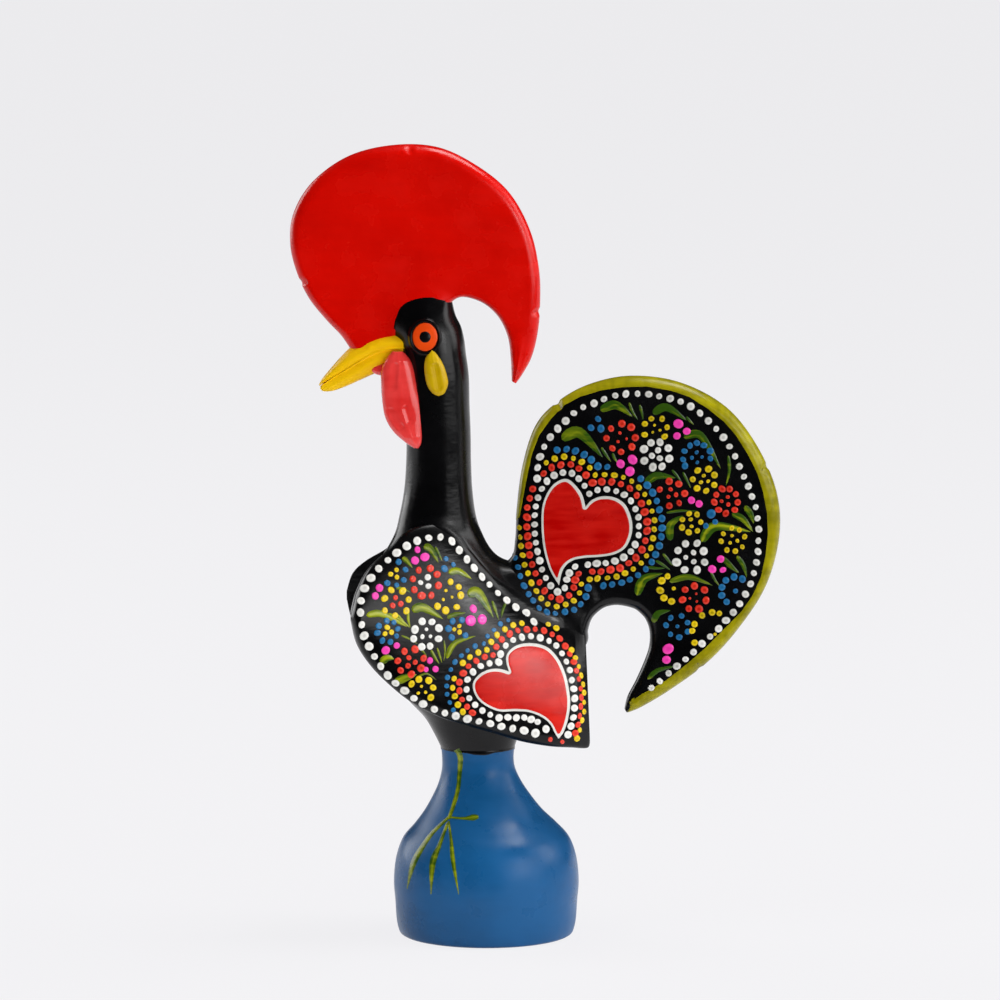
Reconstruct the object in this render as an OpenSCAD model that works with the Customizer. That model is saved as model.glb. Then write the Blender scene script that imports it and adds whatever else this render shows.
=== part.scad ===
/* [Joints between the clay pieces] */
// Film of slip between a piece and what it sits in or on
lute = 0.15; // [0.1:0.05:0.3]
// Depth of the collar and of the neck and head spigots
spigot_depth = 6; // [4:0.5:8]
// Radius of the clay peg behind each wing
peg_r = 3; // [2:0.5:4]
// Length of the clay peg behind each wing
peg_length = 4; // [3:0.5:5]

/* [Pedestal] */
// Height from the table to the mouth
pedestal_h = 67; // [62:1:75]
// Radius of the foot ring at the table
foot_r = 31; // [28:0.5:33]
// Radius at the widest part of the drum
drum_r = 32.9; // [32.9:0.1:36]
// Radius at the mouth, where the body sits
mouth_r = 13; // [12.5:0.1:14]
// Lean of the mouth away from the foot's centre, towards the beak
mouth_lean = 3; // [0:0.5:5]
// Wall of the pedestal
pedestal_wall = 4.5; // [3.5:0.5:5]
// Wall of the pedestal at its mouth
mouth_wall = 3.6; // [3:0.2:4.4]
// Rounding of the foot's outer edge
foot_edge = 1; // [0.5:0.25:1.5]

/* [Body, neck and head] */
// Height of the body, from the pedestal's mouth to the neck
body_h = 83; // [80:1:88]
// Height of the neck tube
neck_h = 40; // [34:1:50]
// Height of the head's top above the neck tube
head_h = 40; // [38:1:42]
// Wall of the hollow body
body_wall = 5; // [4:0.5:6]
// Wall of the hollow neck and head
neck_wall = 4; // [3:0.5:4.5]
// Half width of the neck tube
neck_w = 11.6; // [11:0.1:12.5]
// Half width of the chest at its widest row
chest_w = 17; // [16.5:0.5:19]

/* [Crest and tail] */
// Thickness of the crest slab
crest_t = 8.4; // [7:0.2:10]
// Thickness of the tail slab
tail_t = 9; // [7:0.5:11]
// Thickness of the tail where it leaves the rump
tail_root_t = 13; // [11:0.5:15]
// Width of the rounding along the edges of both slabs
slab_edge = 4; // [3:0.5:5]

/* [Wings] */
// Distance from the middle plane to the wing's inner face, above the pedestal's mouth
wing_seat = 18.8; // [18:0.2:20]
// How fast the inner face comes in towards the tail, per millimetre
wing_yaw = 0.234; // [0.2:0.002:0.26]
// How fast the inner face comes in towards the top, per millimetre
wing_lean = 0.125; // [0.1:0.005:0.15]
// Thickness of the wing at its front and lower rim
wing_rim = 5.5; // [4:0.25:6.5]
// Thickness of the wing where it fades into the back
wing_fade = 1.6; // [1.2:0.2:2.5]
// Extra thickness of the wing in the middle
wing_dome = 3; // [1:0.25:4]
// How much lower the top of the right wing's breast end is than the left one's
wing_sag = 5.5; // [0:0.5:6]
// How much further forward the right wing's breast end reaches
wing_reach = 0.8; // [0:0.2:1.6]

/* [Face] */
// Half width of the beak at its root
beak_w = 6.8; // [6:0.2:7.4]
// Thickness of each wattle
wattle_t = 6; // [4.5:0.5:7]
// Distance from the middle plane to the middle of a wattle
wattle_y = 8; // [7.5:0.25:9]
// Width of the eye disc
eye_w = 8.8; // [8:0.2:10]
// Height of the eye disc
eye_h = 10; // [9:0.2:11]
// Thickness of the eye disc
eye_t = 2.4; // [2:0.2:3]
// Radius of the pupil
pupil_r = 2; // [1.5:0.1:2.5]
// How far the eye's rim stands out of the head
eye_rim = 0.8; // [0.4:0.1:1.2]
// Thickness of the ear lobe
lobe_t = 4.4; // [3.6:0.2:5]

/* [Hidden] */
$fn = 32;
// Points round a ring of the trunk
ring_points = 36;
// Points round a ring of the pedestal
pedestal_points = 48;
// Spline steps between two rows of the trunk and of the slabs
row_steps = 2;
// Radius of the collar that drops into the pedestal's mouth
collar_r = mouth_r - mouth_wall - lute;
// Middle of the neck's axis, in front of the pedestal's mouth
neck_x = -15;
// Height of the body group and of the head group
body_z = pedestal_h;
head_z = body_h + neck_h;

// Outlines are rows of real sizes, read from the beak side (-X) to the tail side (+X).
// Body rows: height above the mouth, front, rear, half width, taper towards the tail.
body_rows = [
    [0, -mouth_r, mouth_r, mouth_r, 0],
    [5, -15.5, 15, 14, 0.05],
    [11, -19, 20.5, 15.3, 0.15],
    [17, -24.5, 26.5, 16.6, 0.3],
    [25, -31.5, 32, chest_w, 0.42],
    [36, -37.5, 35, chest_w, 0.45],
    [46, -40.5, 33.5, chest_w - 0.4, 0.45],
    [53, -40.5, 28, chest_w - 1, 0.43],
    [60, -38.5, 18.1, chest_w - 2, 0.3],
    [66, -36, 10, chest_w - 2.8, 0.2],
    [71, -32.4, 4.8, 13.4, 0.1],
    [77, -29.3, 1.5, 12.6, 0.03],
    [body_h, -27.8, -0.6, 12.2, 0]
];
// Neck rows: height above the body, then as above but measured from the neck's axis
neck_rows = [
    [9.5, -11.1, 13.1, 0.3],
    [neck_h / 2, -10.3, 12.6, 0],
    [neck_h * 0.75, -10.3, 12.5, 0]
];
// Head rows: height above the neck, front, rear, half width
head_rows = [
    [0, -10.9, 12.1, neck_w],
    [10, -11.4, 11.8, neck_w],
    [18, -12.4, 10.8, neck_w],
    [23, -13.6, 10.2, neck_w - 0.3],
    [27.5, -14.5, 9.1, neck_w - 0.8],
    [31, -14.4, 7.4, neck_w - 1.7],
    [34.5, -13.3, 6.1, neck_w - 3.4],
    [head_h - 2.8, -10.8, 4.3, neck_w - 6.2],
    [head_h - 0.8, -7.5, 1.2, neck_w - 9.2],
    [head_h, -4, -3, 0.4]
];
// The whole trunk as one stack, so that the seams run through without a step
trunk_rows = concat(
    body_rows,
    [for (r = neck_rows) [body_h + r[0], neck_x + r[1], neck_x + r[2], neck_w + r[3], 0]],
    [for (r = head_rows) [head_z + r[0], neck_x + r[1], neck_x + r[2], r[3], 0]]
);
neck_from = len(body_rows) - 1;
neck_to = neck_from + len(neck_rows) + 1;

// Pedestal rows: height, middle, radius
pedestal_rows = [
    [0, 0, foot_r - foot_edge],
    [foot_edge, 0, foot_r],
    [5, 0, foot_r + 0.9],
    [12, 0, drum_r - 0.5],
    [19, 0, drum_r],
    [27, 0, drum_r - 0.8],
    [pedestal_h - 33, 0, drum_r - 3.2],
    [pedestal_h - 28, -0.1, drum_r - 7.4],
    [pedestal_h - 23, -0.3 * mouth_lean, mouth_r + 8.1],
    [pedestal_h - 18, -0.5 * mouth_lean, mouth_r + 4.7],
    [pedestal_h - 13, -0.7 * mouth_lean, mouth_r + 1.9],
    [pedestal_h - 8, -0.9 * mouth_lean, mouth_r + 0.1],
    [pedestal_h - 4, -mouth_lean, mouth_r - 0.3],
    [pedestal_h, -mouth_lean, mouth_r]
];

// Crest rows, from the beak round to the tip of the hook: outer x, z and inner x, z
crest_rows = [
    [-30.2, 20.2, -15, 22],
    [-33.4, 24.8, -13, 25.5],
    [-38.5, 30.2, -10.5, 28.5],
    [-44.5, 37.8, -9, 30.5],
    [-48.6, 46.5, -8, 31.5],
    [-51.1, 57, -7, 32],
    [-49.9, 68.2, -6, 32.4],
    [-43, 79.4, -5, 32.7],
    [-30.3, 88.4, -4, 33],
    [-14.5, 92.2, -2.5, 33.2],
    [1.2, 91.3, -1, 33.6],
    [15.2, 84.5, 0.7, 34.3],
    [26.3, 75, 2.5, 35.5],
    [33.6, 61.5, 5, 37],
    [36.8, 47, 10, 38.2],
    [37, 33.5, 16.8, 36],
    [36, 24, 22.3, 31],
    [34, 16.5, 25.6, 23.9],
    [31.2, 11.2, 26.7, 15.7],
    [28.6, 7.4, 27, 8.3]
];
// Tail rows, from the tongue in the rump round to the tip of the hook
tail_rows = [
    [2, 55, 28, 30],
    [11.4, 66, 37.9, 37],
    [13.2, 74.4, 38.9, 42],
    [13.8, 85, 40.6, 46.2],
    [15.8, 100.5, 43.1, 48.8],
    [20.4, 114.9, 45, 50],
    [28.1, 123.4, 46.5, 50.5],
    [39.3, 129.7, 48.2, 50.8],
    [54, 132.7, 50, 50.8],
    [71.2, 130.4, 52, 50.5],
    [87.3, 121.9, 54, 50],
    [98.4, 108.3, 56, 49.2],
    [105.8, 91.2, 58, 47.5],
    [106.8, 75, 59.6, 45.5],
    [102.1, 57.5, 60.9, 41.8],
    [92.2, 42, 60.9, 36.8],
    [81.3, 30.1, 59.5, 31.7],
    [68.4, 20.5, 56.2, 24],
    [58.4, 14.5, 53.2, 18.1],
    [53, 12.2, 52.1, 13.6]
];
// Wing rows, from the breast to the tip: lower x, z, upper x, z, share of the rim kept above
// and share of the right wing's sag
wing_rows = [
    [-45.4, 49.5, -45.4, 52.5, 1, 0],
    [-43.3, 41.3, -43.3, 60, 1, 0.2],
    [-38.3, 33.5, -38.8, 67.8, 1, 0.75],
    [-31.3, 26.2, -31.8, 74, 0.95, 1],
    [-23.4, 19.8, -24.9, 80.2, 0.8, 1],
    [-14.4, 14.8, -15, 81.8, 0.3, 0.7],
    [-4.5, 11.2, -6.5, 76.5, 0, 0.2],
    [5.4, 8, 2.4, 66, 0, 0],
    [15.3, 4.7, 11.3, 57, 0, 0],
    [25.2, 2.6, 21.2, 49.5, 0, 0],
    [33.2, 1.8, 31.3, 45, 0, 0],
    [39.4, 1.2, 37.8, 42.6, 0.1, 0]
];
// Beak rows, root to tip: ridge x, z, mouth x, z, share of the root's width
beak_upper_rows = [
    [-9, 25.5, -8, 20.4, 0.94],
    [-16, 25.6, -14, 20.6, 1],
    [-23, 24, -20.5, 19.4, 0.94],
    [-29.2, 20.8, -26.5, 16.2, 0.8],
    [-33.4, 16.9, -31, 13.2, 0.65],
    [-37.5, 12.2, -35.7, 10.3, 0.48],
    [-40.2, 8.8, -39.4, 8, 0.32],
    [-41.1, 7, -40.8, 6.7, 0.14]
];
// The lower beak's rows run from the mouth line down to the chin line
beak_lower_rows = [
    [-9, 14.6, -8, 20.4, 0.82],
    [-14.5, 14.1, -14, 20.6, 0.88],
    [-21, 11.2, -20.5, 19.4, 0.82],
    [-27, 8.5, -26.5, 16.2, 0.7],
    [-31.5, 6.5, -31, 13.2, 0.58],
    [-36, 4.9, -35.7, 10.3, 0.42],
    [-39.4, 4.7, -39.3, 7.7, 0.28],
    [-40.7, 5.7, -40.6, 6.5, 0.14]
];
// Wattle rows, from the tip up to the root: front x, z and rear x, z
wattle_rows = [
    [-8, -14.4, -5.8, -14.4],
    [-10.9, -12.4, -4.5, -12.4],
    [-15, -8.6, -4.2, -8.6],
    [-17.7, -4, -4.4, -4],
    [-18.8, 1.5, -5.1, 1.5],
    [-19.1, 7, -6.3, 7],
    [-19.2, 13, -7.5, 13],
    [-17.7, 17, -9, 17],
    [-15.2, 20, -11.5, 20]
];
// Ear lobe rows, from the bottom up: front x, z and rear x, z
lobe_rows = [
    [0.4, 4.6, 1.5, 4.6],
    [-1.5, 5.7, 3.2, 5.7],
    [-3.2, 8.5, 4.3, 8.8],
    [-4, 12.6, 3.9, 11.8],
    [-4.1, 16, 2.7, 15.5],
    [-3.3, 18.8, 0.9, 18.6],
    [-1.7, 20.8, -0.9, 20.8]
];
// Middle of the eye, from the neck's axis and above the neck
eye_x = -3.8;
eye_z = 25.4;
// Tilt of the eye with the dome
eye_tilt = 6;
// Depth of the eye's seat, width of its rim and height of the pupil above the disc
eye_seat = 1.4;
eye_rim_w = 1.1;
pupil_out = 0.5;
// Chin end of each wattle, under the beak: middle and half sizes
chin = [-18, 3, 13];
chin_r = [4.8, 3, 2.4];
// Height of the hollow inside the head, above the neck
head_hollow_h = 24;
// Wall of the collars below the neck and the head
collar_wall = 2.5;
// Middle of the wing's peg
peg_x = -4;
peg_z = 38;

// Point on a smooth curve through the rows, between row i and the next
function between(rows, i, t) =
    let (last = len(rows) - 1,
        a = rows[max(i - 1, 0)], b = rows[i], c = rows[i + 1], d = rows[min(i + 2, last)])
    0.5 * (2 * b + (c - a) * t + (2 * a - 5 * b + 4 * c - d) * t * t
        + (3 * b - a - 3 * c + d) * t * t * t);

// The rows from one to another, with more laid between them along smooth curves
function smooth(rows, from, to, steps) = concat(
    [for (i = [from:to - 1]) for (k = [0:steps - 1]) between(rows, i, k / steps)],
    [rows[to]]
);

// Ring of the trunk: an egg shape, narrower towards the tail
function trunk_ring(row, grow) =
    let (middle = (row[1] + row[2]) / 2, half = (row[2] - row[1]) / 2 + grow,
        w = row[3] + grow, blunt = 1 - 0.3 * row[4])
    [for (j = [0:ring_points - 1])
        let (a = 360 * j / ring_points, s = sin(a))
        [middle + half * cos(a), sign(s) * w * pow(abs(s), blunt) * (1 - row[4] * cos(a)), row[0]]
    ];

// Distance from the middle plane to the wing's inner face
function seat_y(x, z) = wing_seat - wing_yaw * x - wing_lean * z;

// Heights across a slab: distance along it and share of the half thickness
function slab_profile(width, edge) =
    let (e = min(edge, width * 0.4))
    concat(
        [for (a = [0:30:90]) [e * (1 - cos(a)), sin(a)]],
        [for (u = [0.25:0.25:0.75]) [e + (width - 2 * e) * u, 1 + 0.06 * sin(180 * u)]],
        [for (a = [90:-30:0]) [width - e * (1 - cos(a)), sin(a)]]
    );

// Ring of a slab between an outer and an inner point, with its half thickness at each
function slab_ring(p, q, p_half, q_half, edge, grow) =
    let (way = (q - p) / norm(q - p), width = norm(q - p) + 2 * grow, start = p - way * grow,
        profile = slab_profile(width, edge), last = len(profile) - 1,
        side = [for (s = profile)
            [start + way * s[0],
            (grow + p_half + (q_half - p_half) * min(s[0] / width, 1)) * s[1]]])
    concat(
        [for (i = [0:last]) [side[i][0][0], -side[i][1], side[i][0][1]]],
        [for (i = [last - 1:-1:1]) [side[i][0][0], side[i][1], side[i][0][1]]]
    );

// Closed skin over a stack of rings, which run anticlockwise seen from its end, or flipped
module skin(rings, flip = false) {
    n = len(rings[0]);
    last = len(rings) - 1;
    polyhedron(
        [for (ring = rings) for (j = [0:n - 1]) ring[flip ? n - 1 - j : j]],
        concat(
            [[for (j = [0:n - 1]) j]],
            [for (i = [0:last - 1]) for (j = [0:n - 1])
                let (a = i * n + j, b = i * n + (j + 1) % n)
                each [[a, a + n, b + n], [a, b + n, b]]],
            [[for (j = [n - 1:-1:0]) last * n + j]]
        )
    );
}

// Mesh of whatever it holds, at the size it already has
module one_mesh() {
    resize([0, 0, 0]) children();
}

// The outside of the trunk between two rows, grown or shrunk
module trunk(from, to, grow = 0, steps = row_steps) {
    skin([for (r = smooth(trunk_rows, from, to, steps)) trunk_ring(r, grow)]);
}

// Collar below a seam, which drops into the hollow of the piece underneath
module collar(row, wall) {
    function at(z, inset) = trunk_ring([z, row[1], row[2], row[3], 0], -inset);
    difference() {
        skin([for (z = [row[0] - spigot_depth, row[0] + 1]) at(z, wall + lute)]);
        skin([for (z = [row[0] - spigot_depth - 1, row[0] + 2]) at(z, wall + lute + collar_wall)]);
    }
}

// Slab through rows of edge points, with its thickness at the outer and the inner edge
module slab(rows, thick, root_thick, edge, grow = 0, steps = row_steps) {
    n = len(rows) - 1;
    fine = smooth([for (i = [0:n]) concat(rows[i], root_share(i))], 0, n, steps);
    skin([for (r = fine)
        let (p = [r[0], r[1]], q = [r[2], r[3]], tip = min(1, norm(q - p) / (2 * edge) + 0.25))
        slab_ring(p, q, tip * thick / 2, tip * (thick + (root_thick - thick) * r[4]) / 2, edge, grow)]);
}

// Share of the root's extra thickness that a slab's inner edge has at row i
function root_share(i) = [max(0, min(1, (5 - i) / 3))];

// Things that belong to the body, the neck's axis or the head, put in place
module on_pedestal() {
    translate([-mouth_lean, 0, body_z]) children();
}
module on_neck() {
    translate([neck_x, 0, head_z]) children();
}

// Pedestal ring
function round_ring(x, z, r) =
    [for (j = [0:pedestal_points - 1])
        let (a = 360 * j / pedestal_points) [x + r * cos(a), r * sin(a), z]];

module pedestal() {
    fine = smooth(pedestal_rows, 0, len(pedestal_rows) - 1, row_steps);
    bore_r = collar_r + lute;
    bore_z = pedestal_h - spigot_depth - 2;
    inside = [for (r = smooth(pedestal_rows, 1, len(pedestal_rows) - 1, 1))
        if (r[0] < bore_z - 2) [r[0], r[1], max(r[2] - pedestal_wall, bore_r)]];
    color("steelblue") one_mesh() difference() {
        skin([for (r = fine) round_ring(r[1], r[0], r[2])]);
        skin(concat(
            [round_ring(0, -1, inside[0][2])],
            [for (r = inside) round_ring(r[1], r[0], r[2])],
            [for (z = [bore_z, pedestal_h + 1]) round_ring(-mouth_lean, z, bore_r)]
        ));
    }
}

module body() {
    color("#151515") on_pedestal() one_mesh() difference() {
        union() {
            trunk(0, neck_from);
            translate([0, 0, -spigot_depth]) cylinder(r = collar_r, h = spigot_depth + 1);
        }
        hollow_body();
        tail_slab(lute);
        for (side = [-1, 1]) {
            wing_space(side);
            wing_peg(side, lute);
        }
    }
}

// Hollow of the body, closed at the bottom but for the collar's bore
module hollow_body() {
    rows = smooth(trunk_rows, 1, neck_from, 1);
    bore_r = collar_r - collar_wall;
    skin(concat(
        [for (z = [-spigot_depth - 1, 0]) trunk_ring([z, -bore_r, bore_r, bore_r, 0], 0)],
        [for (r = rows) trunk_ring(r, -body_wall)],
        [trunk_ring(trunk_rows[neck_from] + [1, 0, 0, 0, 0], -body_wall)]
    ));
}

module neck() {
    seam = trunk_rows[neck_from];
    rows = smooth(trunk_rows, neck_from, neck_to, 1);
    color("#151515") on_pedestal() one_mesh() {
        difference() {
            trunk(neck_from, neck_to);
            skin(concat(
                [trunk_ring(rows[0] - [1, 0, 0, 0, 0], -body_wall - lute - collar_wall)],
                [for (r = rows) trunk_ring(r, r == rows[0] ? -body_wall - lute - collar_wall : -neck_wall)],
                [trunk_ring(trunk_rows[neck_to] + [1, 0, 0, 0, 0], -neck_wall)]
            ));
        }
        collar(seam, body_wall);
    }
}

module head() {
    seam = trunk_rows[neck_to];
    inset = neck_wall + lute + collar_wall;
    color("#151515") on_pedestal() one_mesh() difference() {
        union() {
            trunk(neck_to, len(trunk_rows) - 1);
            collar(seam, neck_wall);
            for (side = [-1, 1])
                eye_place(side) translate([0, 0, -1]) eye_oval(eye_rim + 1, eye_rim_w);
        }
        skin([for (z = [-1, head_hollow_h / 2, head_hollow_h])
            trunk_ring([seam[0] + z, seam[1], seam[2], seam[3], 0], -inset)]);
        on_neck() {
            crest_slab(lute);
            beak_half(beak_upper_rows, lute);
            beak_half(beak_lower_rows, lute);
        }
        for (side = [-1, 1]) eye_place(side) translate([0, 0, -eye_seat]) eye_oval(eye_t + 2, lute);
    }
}

// Frame on the side of the head, looking out, with the eye's seat at its origin
module eye_place(side) {
    on_neck() translate([eye_x, side * (neck_w - 0.8), eye_z])
        rotate([side * -90 + side * eye_tilt, 0, 0]) children();
}

// Upright oval of the eye's width and height
module eye_oval(h, grow) {
    linear_extrude(h) scale([eye_w / eye_h, 1]) circle(d = eye_h + 2 * grow);
}

module eye_disc(side) {
    color("orangered") on_pedestal() one_mesh() eye_place(side) translate([0, 0, lute - eye_seat])
        difference() {
            union() {
                eye_oval(eye_t - 0.5, 0);
                translate([0, 0, eye_t - 0.5]) eye_oval(0.5, -0.5);
            }
            translate([0, 0, eye_t / 2]) cylinder(r = pupil_r + lute, h = eye_t);
        }
}

module pupil(side) {
    color("#151515") on_pedestal() eye_place(side)
        translate([0, 0, eye_t / 2 + 2 * lute - eye_seat]) {
            cylinder(r = pupil_r, h = eye_t / 2);
            translate([0, 0, eye_t / 2]) cylinder(r1 = pupil_r, r2 = pupil_r / 2, h = pupil_out);
        }
}

module crest_slab(grow) {
    slab(crest_rows, crest_t, crest_t, slab_edge, grow);
}

module crest() {
    color("red") on_pedestal() on_neck() one_mesh() difference() {
        crest_slab(0);
        beak_half(beak_upper_rows, lute);
    }
}

module tail_slab(grow) {
    slab(tail_rows, tail_t, tail_root_t, slab_edge, grow);
}

module tail() {
    color("#1c1c1c") on_pedestal() one_mesh() difference() {
        tail_slab(0);
        for (side = [-1, 1]) wing_space(side);
    }
}

// Ring of a wing: flat inside, rounded rim, domed outside. With extra thickness it is the
// space that the wing takes out of the body, which is wider by the slip, also past its ends.
function wing_ring(row, side, extra, end) =
    let (grow = extra > 0 ? lute : 0, width = norm([row[2] - row[0], row[3] - row[1]]) + 2 * grow,
        way = [row[2] - row[0], row[3] - row[1]] / (width - 2 * grow),
        p = [row[0] + grow * end, row[1]] - way * grow,
        e = min(wing_rim, width * 0.4), above = wing_fade + (wing_rim - wing_fade) * row[4],
        ends = min(1, 0.4 + width / 40, 0.45 + (40 - row[0]) / 8),
        out = concat(
            [for (a = [0:30:90]) [e * (1 - cos(a)), 0.35 + 0.65 * sin(a)]],
            [for (u = [0.2:0.2:0.8]) [e + (width - 2 * e) * u, 1]],
            [for (a = [90:-30:0]) [width - e * (1 - cos(a)), 0.35 + 0.65 * sin(a)]]),
        outside = [for (s = out)
            let (at = p + way * s[0], u = s[0] / width,
                rim = wing_rim + (above - wing_rim) * u,
                y = seat_y(at[0], at[1]) + lute + extra
                    + ends * (rim * s[1] + wing_dome * sin(180 * u)))
            [at[0], side * y, at[1]]],
        inside = [for (s = out) let (at = p + way * s[0])
            [at[0], side * (seat_y(at[0], at[1]) + lute - grow), at[1]]],
        last = len(out) - 1)
    concat(outside, [for (i = [last:-1:0]) inside[i]]);

// Rows of the left wing, or of the right one, whose breast end hangs lower
function side_rows(side) = side < 0 ? wing_rows :
    [for (r = wing_rows) r - [wing_reach * r[4], 0, wing_reach * r[4], wing_sag * r[5], 0, 0]];

module wing_skin(side, extra) {
    fine = smooth(side_rows(side), 0, len(wing_rows) - 1, row_steps);
    last = len(fine) - 1;
    skin([for (i = [0:last]) wing_ring(fine[i], side, extra, i == 0 ? -1 : i == last ? 1 : 0)],
        side < 0);
}

// Space that a wing takes, out past the widest part of the body
module wing_space(side) {
    wing_skin(side, chest_w);
}

// Peg behind a wing, square to the middle plane
module wing_peg(side, grow) {
    y = seat_y(peg_x, peg_z);
    translate([peg_x, side * (y - peg_length - grow), peg_z]) rotate([side * -90, 0, 0])
        cylinder(r = peg_r + grow, h = peg_length + 2);
}

module wing(side) {
    color("#1c1c1c") on_pedestal() one_mesh() {
        wing_skin(side, 0);
        wing_peg(side, 0);
    }
}

// Half of the beak: arches from the mouth line to the ridge or to the chin line
module beak_half(rows, grow = 0) {
    skin([for (r = smooth(rows, 0, len(rows) - 1, row_steps))
        let (q = [r[0], r[1]], m = [r[2], r[3]], way = (q - m) / norm(q - m),
            w = beak_w * r[4] + grow, from = lute / 2 - grow, to = norm(q - m) + grow)
        [for (a = [-15:15:195])
            let (at = m + way * (from + (to - from) * (sin(a) + sin(15)) / (1 + sin(15))))
            [at[0], -w * cos(a), at[1]]]
    ], rows[0][1] < rows[0][3]);
}

module beak_upper() {
    color("gold") on_pedestal() on_neck() one_mesh() beak_half(beak_upper_rows);
}

module beak_lower() {
    color("gold") on_pedestal() on_neck() one_mesh() beak_half(beak_lower_rows);
}

// Hanging pad with a chin lobe, cut to sit on the neck and under the beak
module wattle(side) {
    color("crimson") on_pedestal() one_mesh() difference() {
        on_neck() {
            translate([0, side * wattle_y, 0]) slab(wattle_rows, wattle_t, wattle_t, 6);
            intersection() {
                translate([chin[0], side * chin[1], chin[2]]) scale(chin_r) sphere(r = 1, $fn = 24);
                translate([chin[0], side * (10 + lute / 2), chin[2]]) cube(20, center = true);
            }
        }
        trunk(neck_from, len(trunk_rows) - 1, lute);
        on_neck() {
            beak_half(beak_upper_rows, lute);
            beak_half(beak_lower_rows, lute);
        }
    }
}

// Leaf-shaped pad, cut to sit on the side of the head
module ear_lobe(side) {
    color("gold") on_pedestal() one_mesh() difference() {
        on_neck() translate([0, side * (neck_w - 0.2), 0]) slab(lobe_rows, lobe_t, lobe_t, 4);
        trunk(neck_to, len(trunk_rows) - 1, lute);
    }
}

pedestal();
body();
neck();
head();
crest();
tail();
wing(-1);  // wing_left
wing(1);  // wing_right
beak_upper();
beak_lower();
wattle(-1);  // wattle_left
wattle(1);  // wattle_right
eye_disc(-1);  // eye_left
eye_disc(1);  // eye_right
pupil(-1);  // pupil_left
pupil(1);  // pupil_right
ear_lobe(-1);  // ear_lobe_left
ear_lobe(1);  // ear_lobe_right
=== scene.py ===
"""Looks of a hand-painted clay rooster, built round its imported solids.

Sizes are in millimetres in the part's own frame: the beak points to -X, the tail to +X, the near side
in the picture is -Y, and the foot stands at z = 0. MM turns them into metres."""

import random
from math import acos, copysign, cos, degrees, exp, hypot, pi, radians, remainder, sin, sqrt

import bmesh
import bpy
import numpy as np
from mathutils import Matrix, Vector, noise
from mathutils.bvhtree import BVHTree
from mathutils.geometry import delaunay_2d_cdt
from numpy.linalg import norm


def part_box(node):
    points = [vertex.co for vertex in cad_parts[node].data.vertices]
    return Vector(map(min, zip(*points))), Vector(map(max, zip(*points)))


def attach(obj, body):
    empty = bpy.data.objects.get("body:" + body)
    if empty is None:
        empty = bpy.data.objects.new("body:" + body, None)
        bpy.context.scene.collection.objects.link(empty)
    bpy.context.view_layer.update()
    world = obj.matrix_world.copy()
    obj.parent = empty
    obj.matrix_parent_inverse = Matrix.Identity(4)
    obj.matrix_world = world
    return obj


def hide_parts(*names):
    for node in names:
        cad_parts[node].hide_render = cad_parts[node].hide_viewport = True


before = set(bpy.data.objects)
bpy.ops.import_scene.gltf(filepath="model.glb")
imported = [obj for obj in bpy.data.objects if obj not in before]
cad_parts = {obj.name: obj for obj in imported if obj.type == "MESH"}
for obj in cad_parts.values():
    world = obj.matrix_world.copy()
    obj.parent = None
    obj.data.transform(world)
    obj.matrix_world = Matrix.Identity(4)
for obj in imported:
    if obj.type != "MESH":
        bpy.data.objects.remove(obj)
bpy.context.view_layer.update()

MM = 0.001


def cad(node):
    """Lowest and highest corner of a CAD node, in millimetres."""
    low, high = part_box(node)
    return np.array(low) / MM, np.array(high) / MM


# Places taken from the solids
MOUTH_Z = cad("pedestal")[1][2]
BODY_TOP = cad("body")[1][2]
NECK_TOP = cad("neck")[1][2]
COLLAR_Z = cad("body")[0][2]
FOOT_DRUM = cad("pedestal")[1][0]

# Body group and head group, from the foot's centre
LEAN = 3.0
BODY_AT = np.array([-LEAN, 0, MOUTH_Z])
HEAD_AT = BODY_AT + [-15, 0, NECK_TOP - MOUTH_Z]

# Driving sizes
MOUTH_R = 13.0
MOUTH_WALL = 3.6
PEDESTAL_WALL = 4.5
BORE_STEP = 2.0
COLLAR_WALL = 2.5
COLLAR_DEPTH = 24.0
FOOT_R = 31.0
FOOT_EDGE = 1.0
CHEST_W = 17.0
NECK_W = 11.6
CREST_T = 8.4
TAIL_T = 9.0
TAIL_ROOT_T = 13.0
SLAB_EDGE = 4.0
WING_SEAT = 18.8
WING_YAW = 0.234
WING_LEAN = 0.125
WING_RIM = 5.5
WING_FADE = 1.6
WING_DOME = 3.0
WING_SAG = 5.5
WING_REACH = 0.8
SLIP = 0.15
BEAK_W = 6.8
WATTLE_T = 6.0
WATTLE_Y = 8.0
WATTLE_EDGE = 6.0
EYE_W = 8.8
EYE_H = 10.0
EYE_T = 2.4
EYE_SEAT = 1.4
PUPIL_R = 2.0
LOBE_T = 4.4
LOBE_EDGE = 4.0
LOBE_Y = NECK_W - 0.2
RIM_PAINT = 0.16
# How much a slab swells between its rounded edges, as a share of its thickness
CROWN = 0.06
# How far the clay is smoothed over the joints of the tail, the wings and the crest
JOINT_REACH = 7.0
WING_REACH_ON = 4.0
CREST_REACH = 5.0
# Share of the wing's rim that stands upright at its edge
WING_EDGE = 0.35
# How gently the wing's upper edge runs out over the body
WING_RUN_OUT = 8.0

# Fineness of the skins
RING_POINTS = 96
TRUNK_STEPS = 8
SLAB_STEPS = 20
# Angle in degrees past which an edge is sharp
SHARP = 50
# Depth of the unevenness that hands leave in clay
HAND = 0.16

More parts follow.
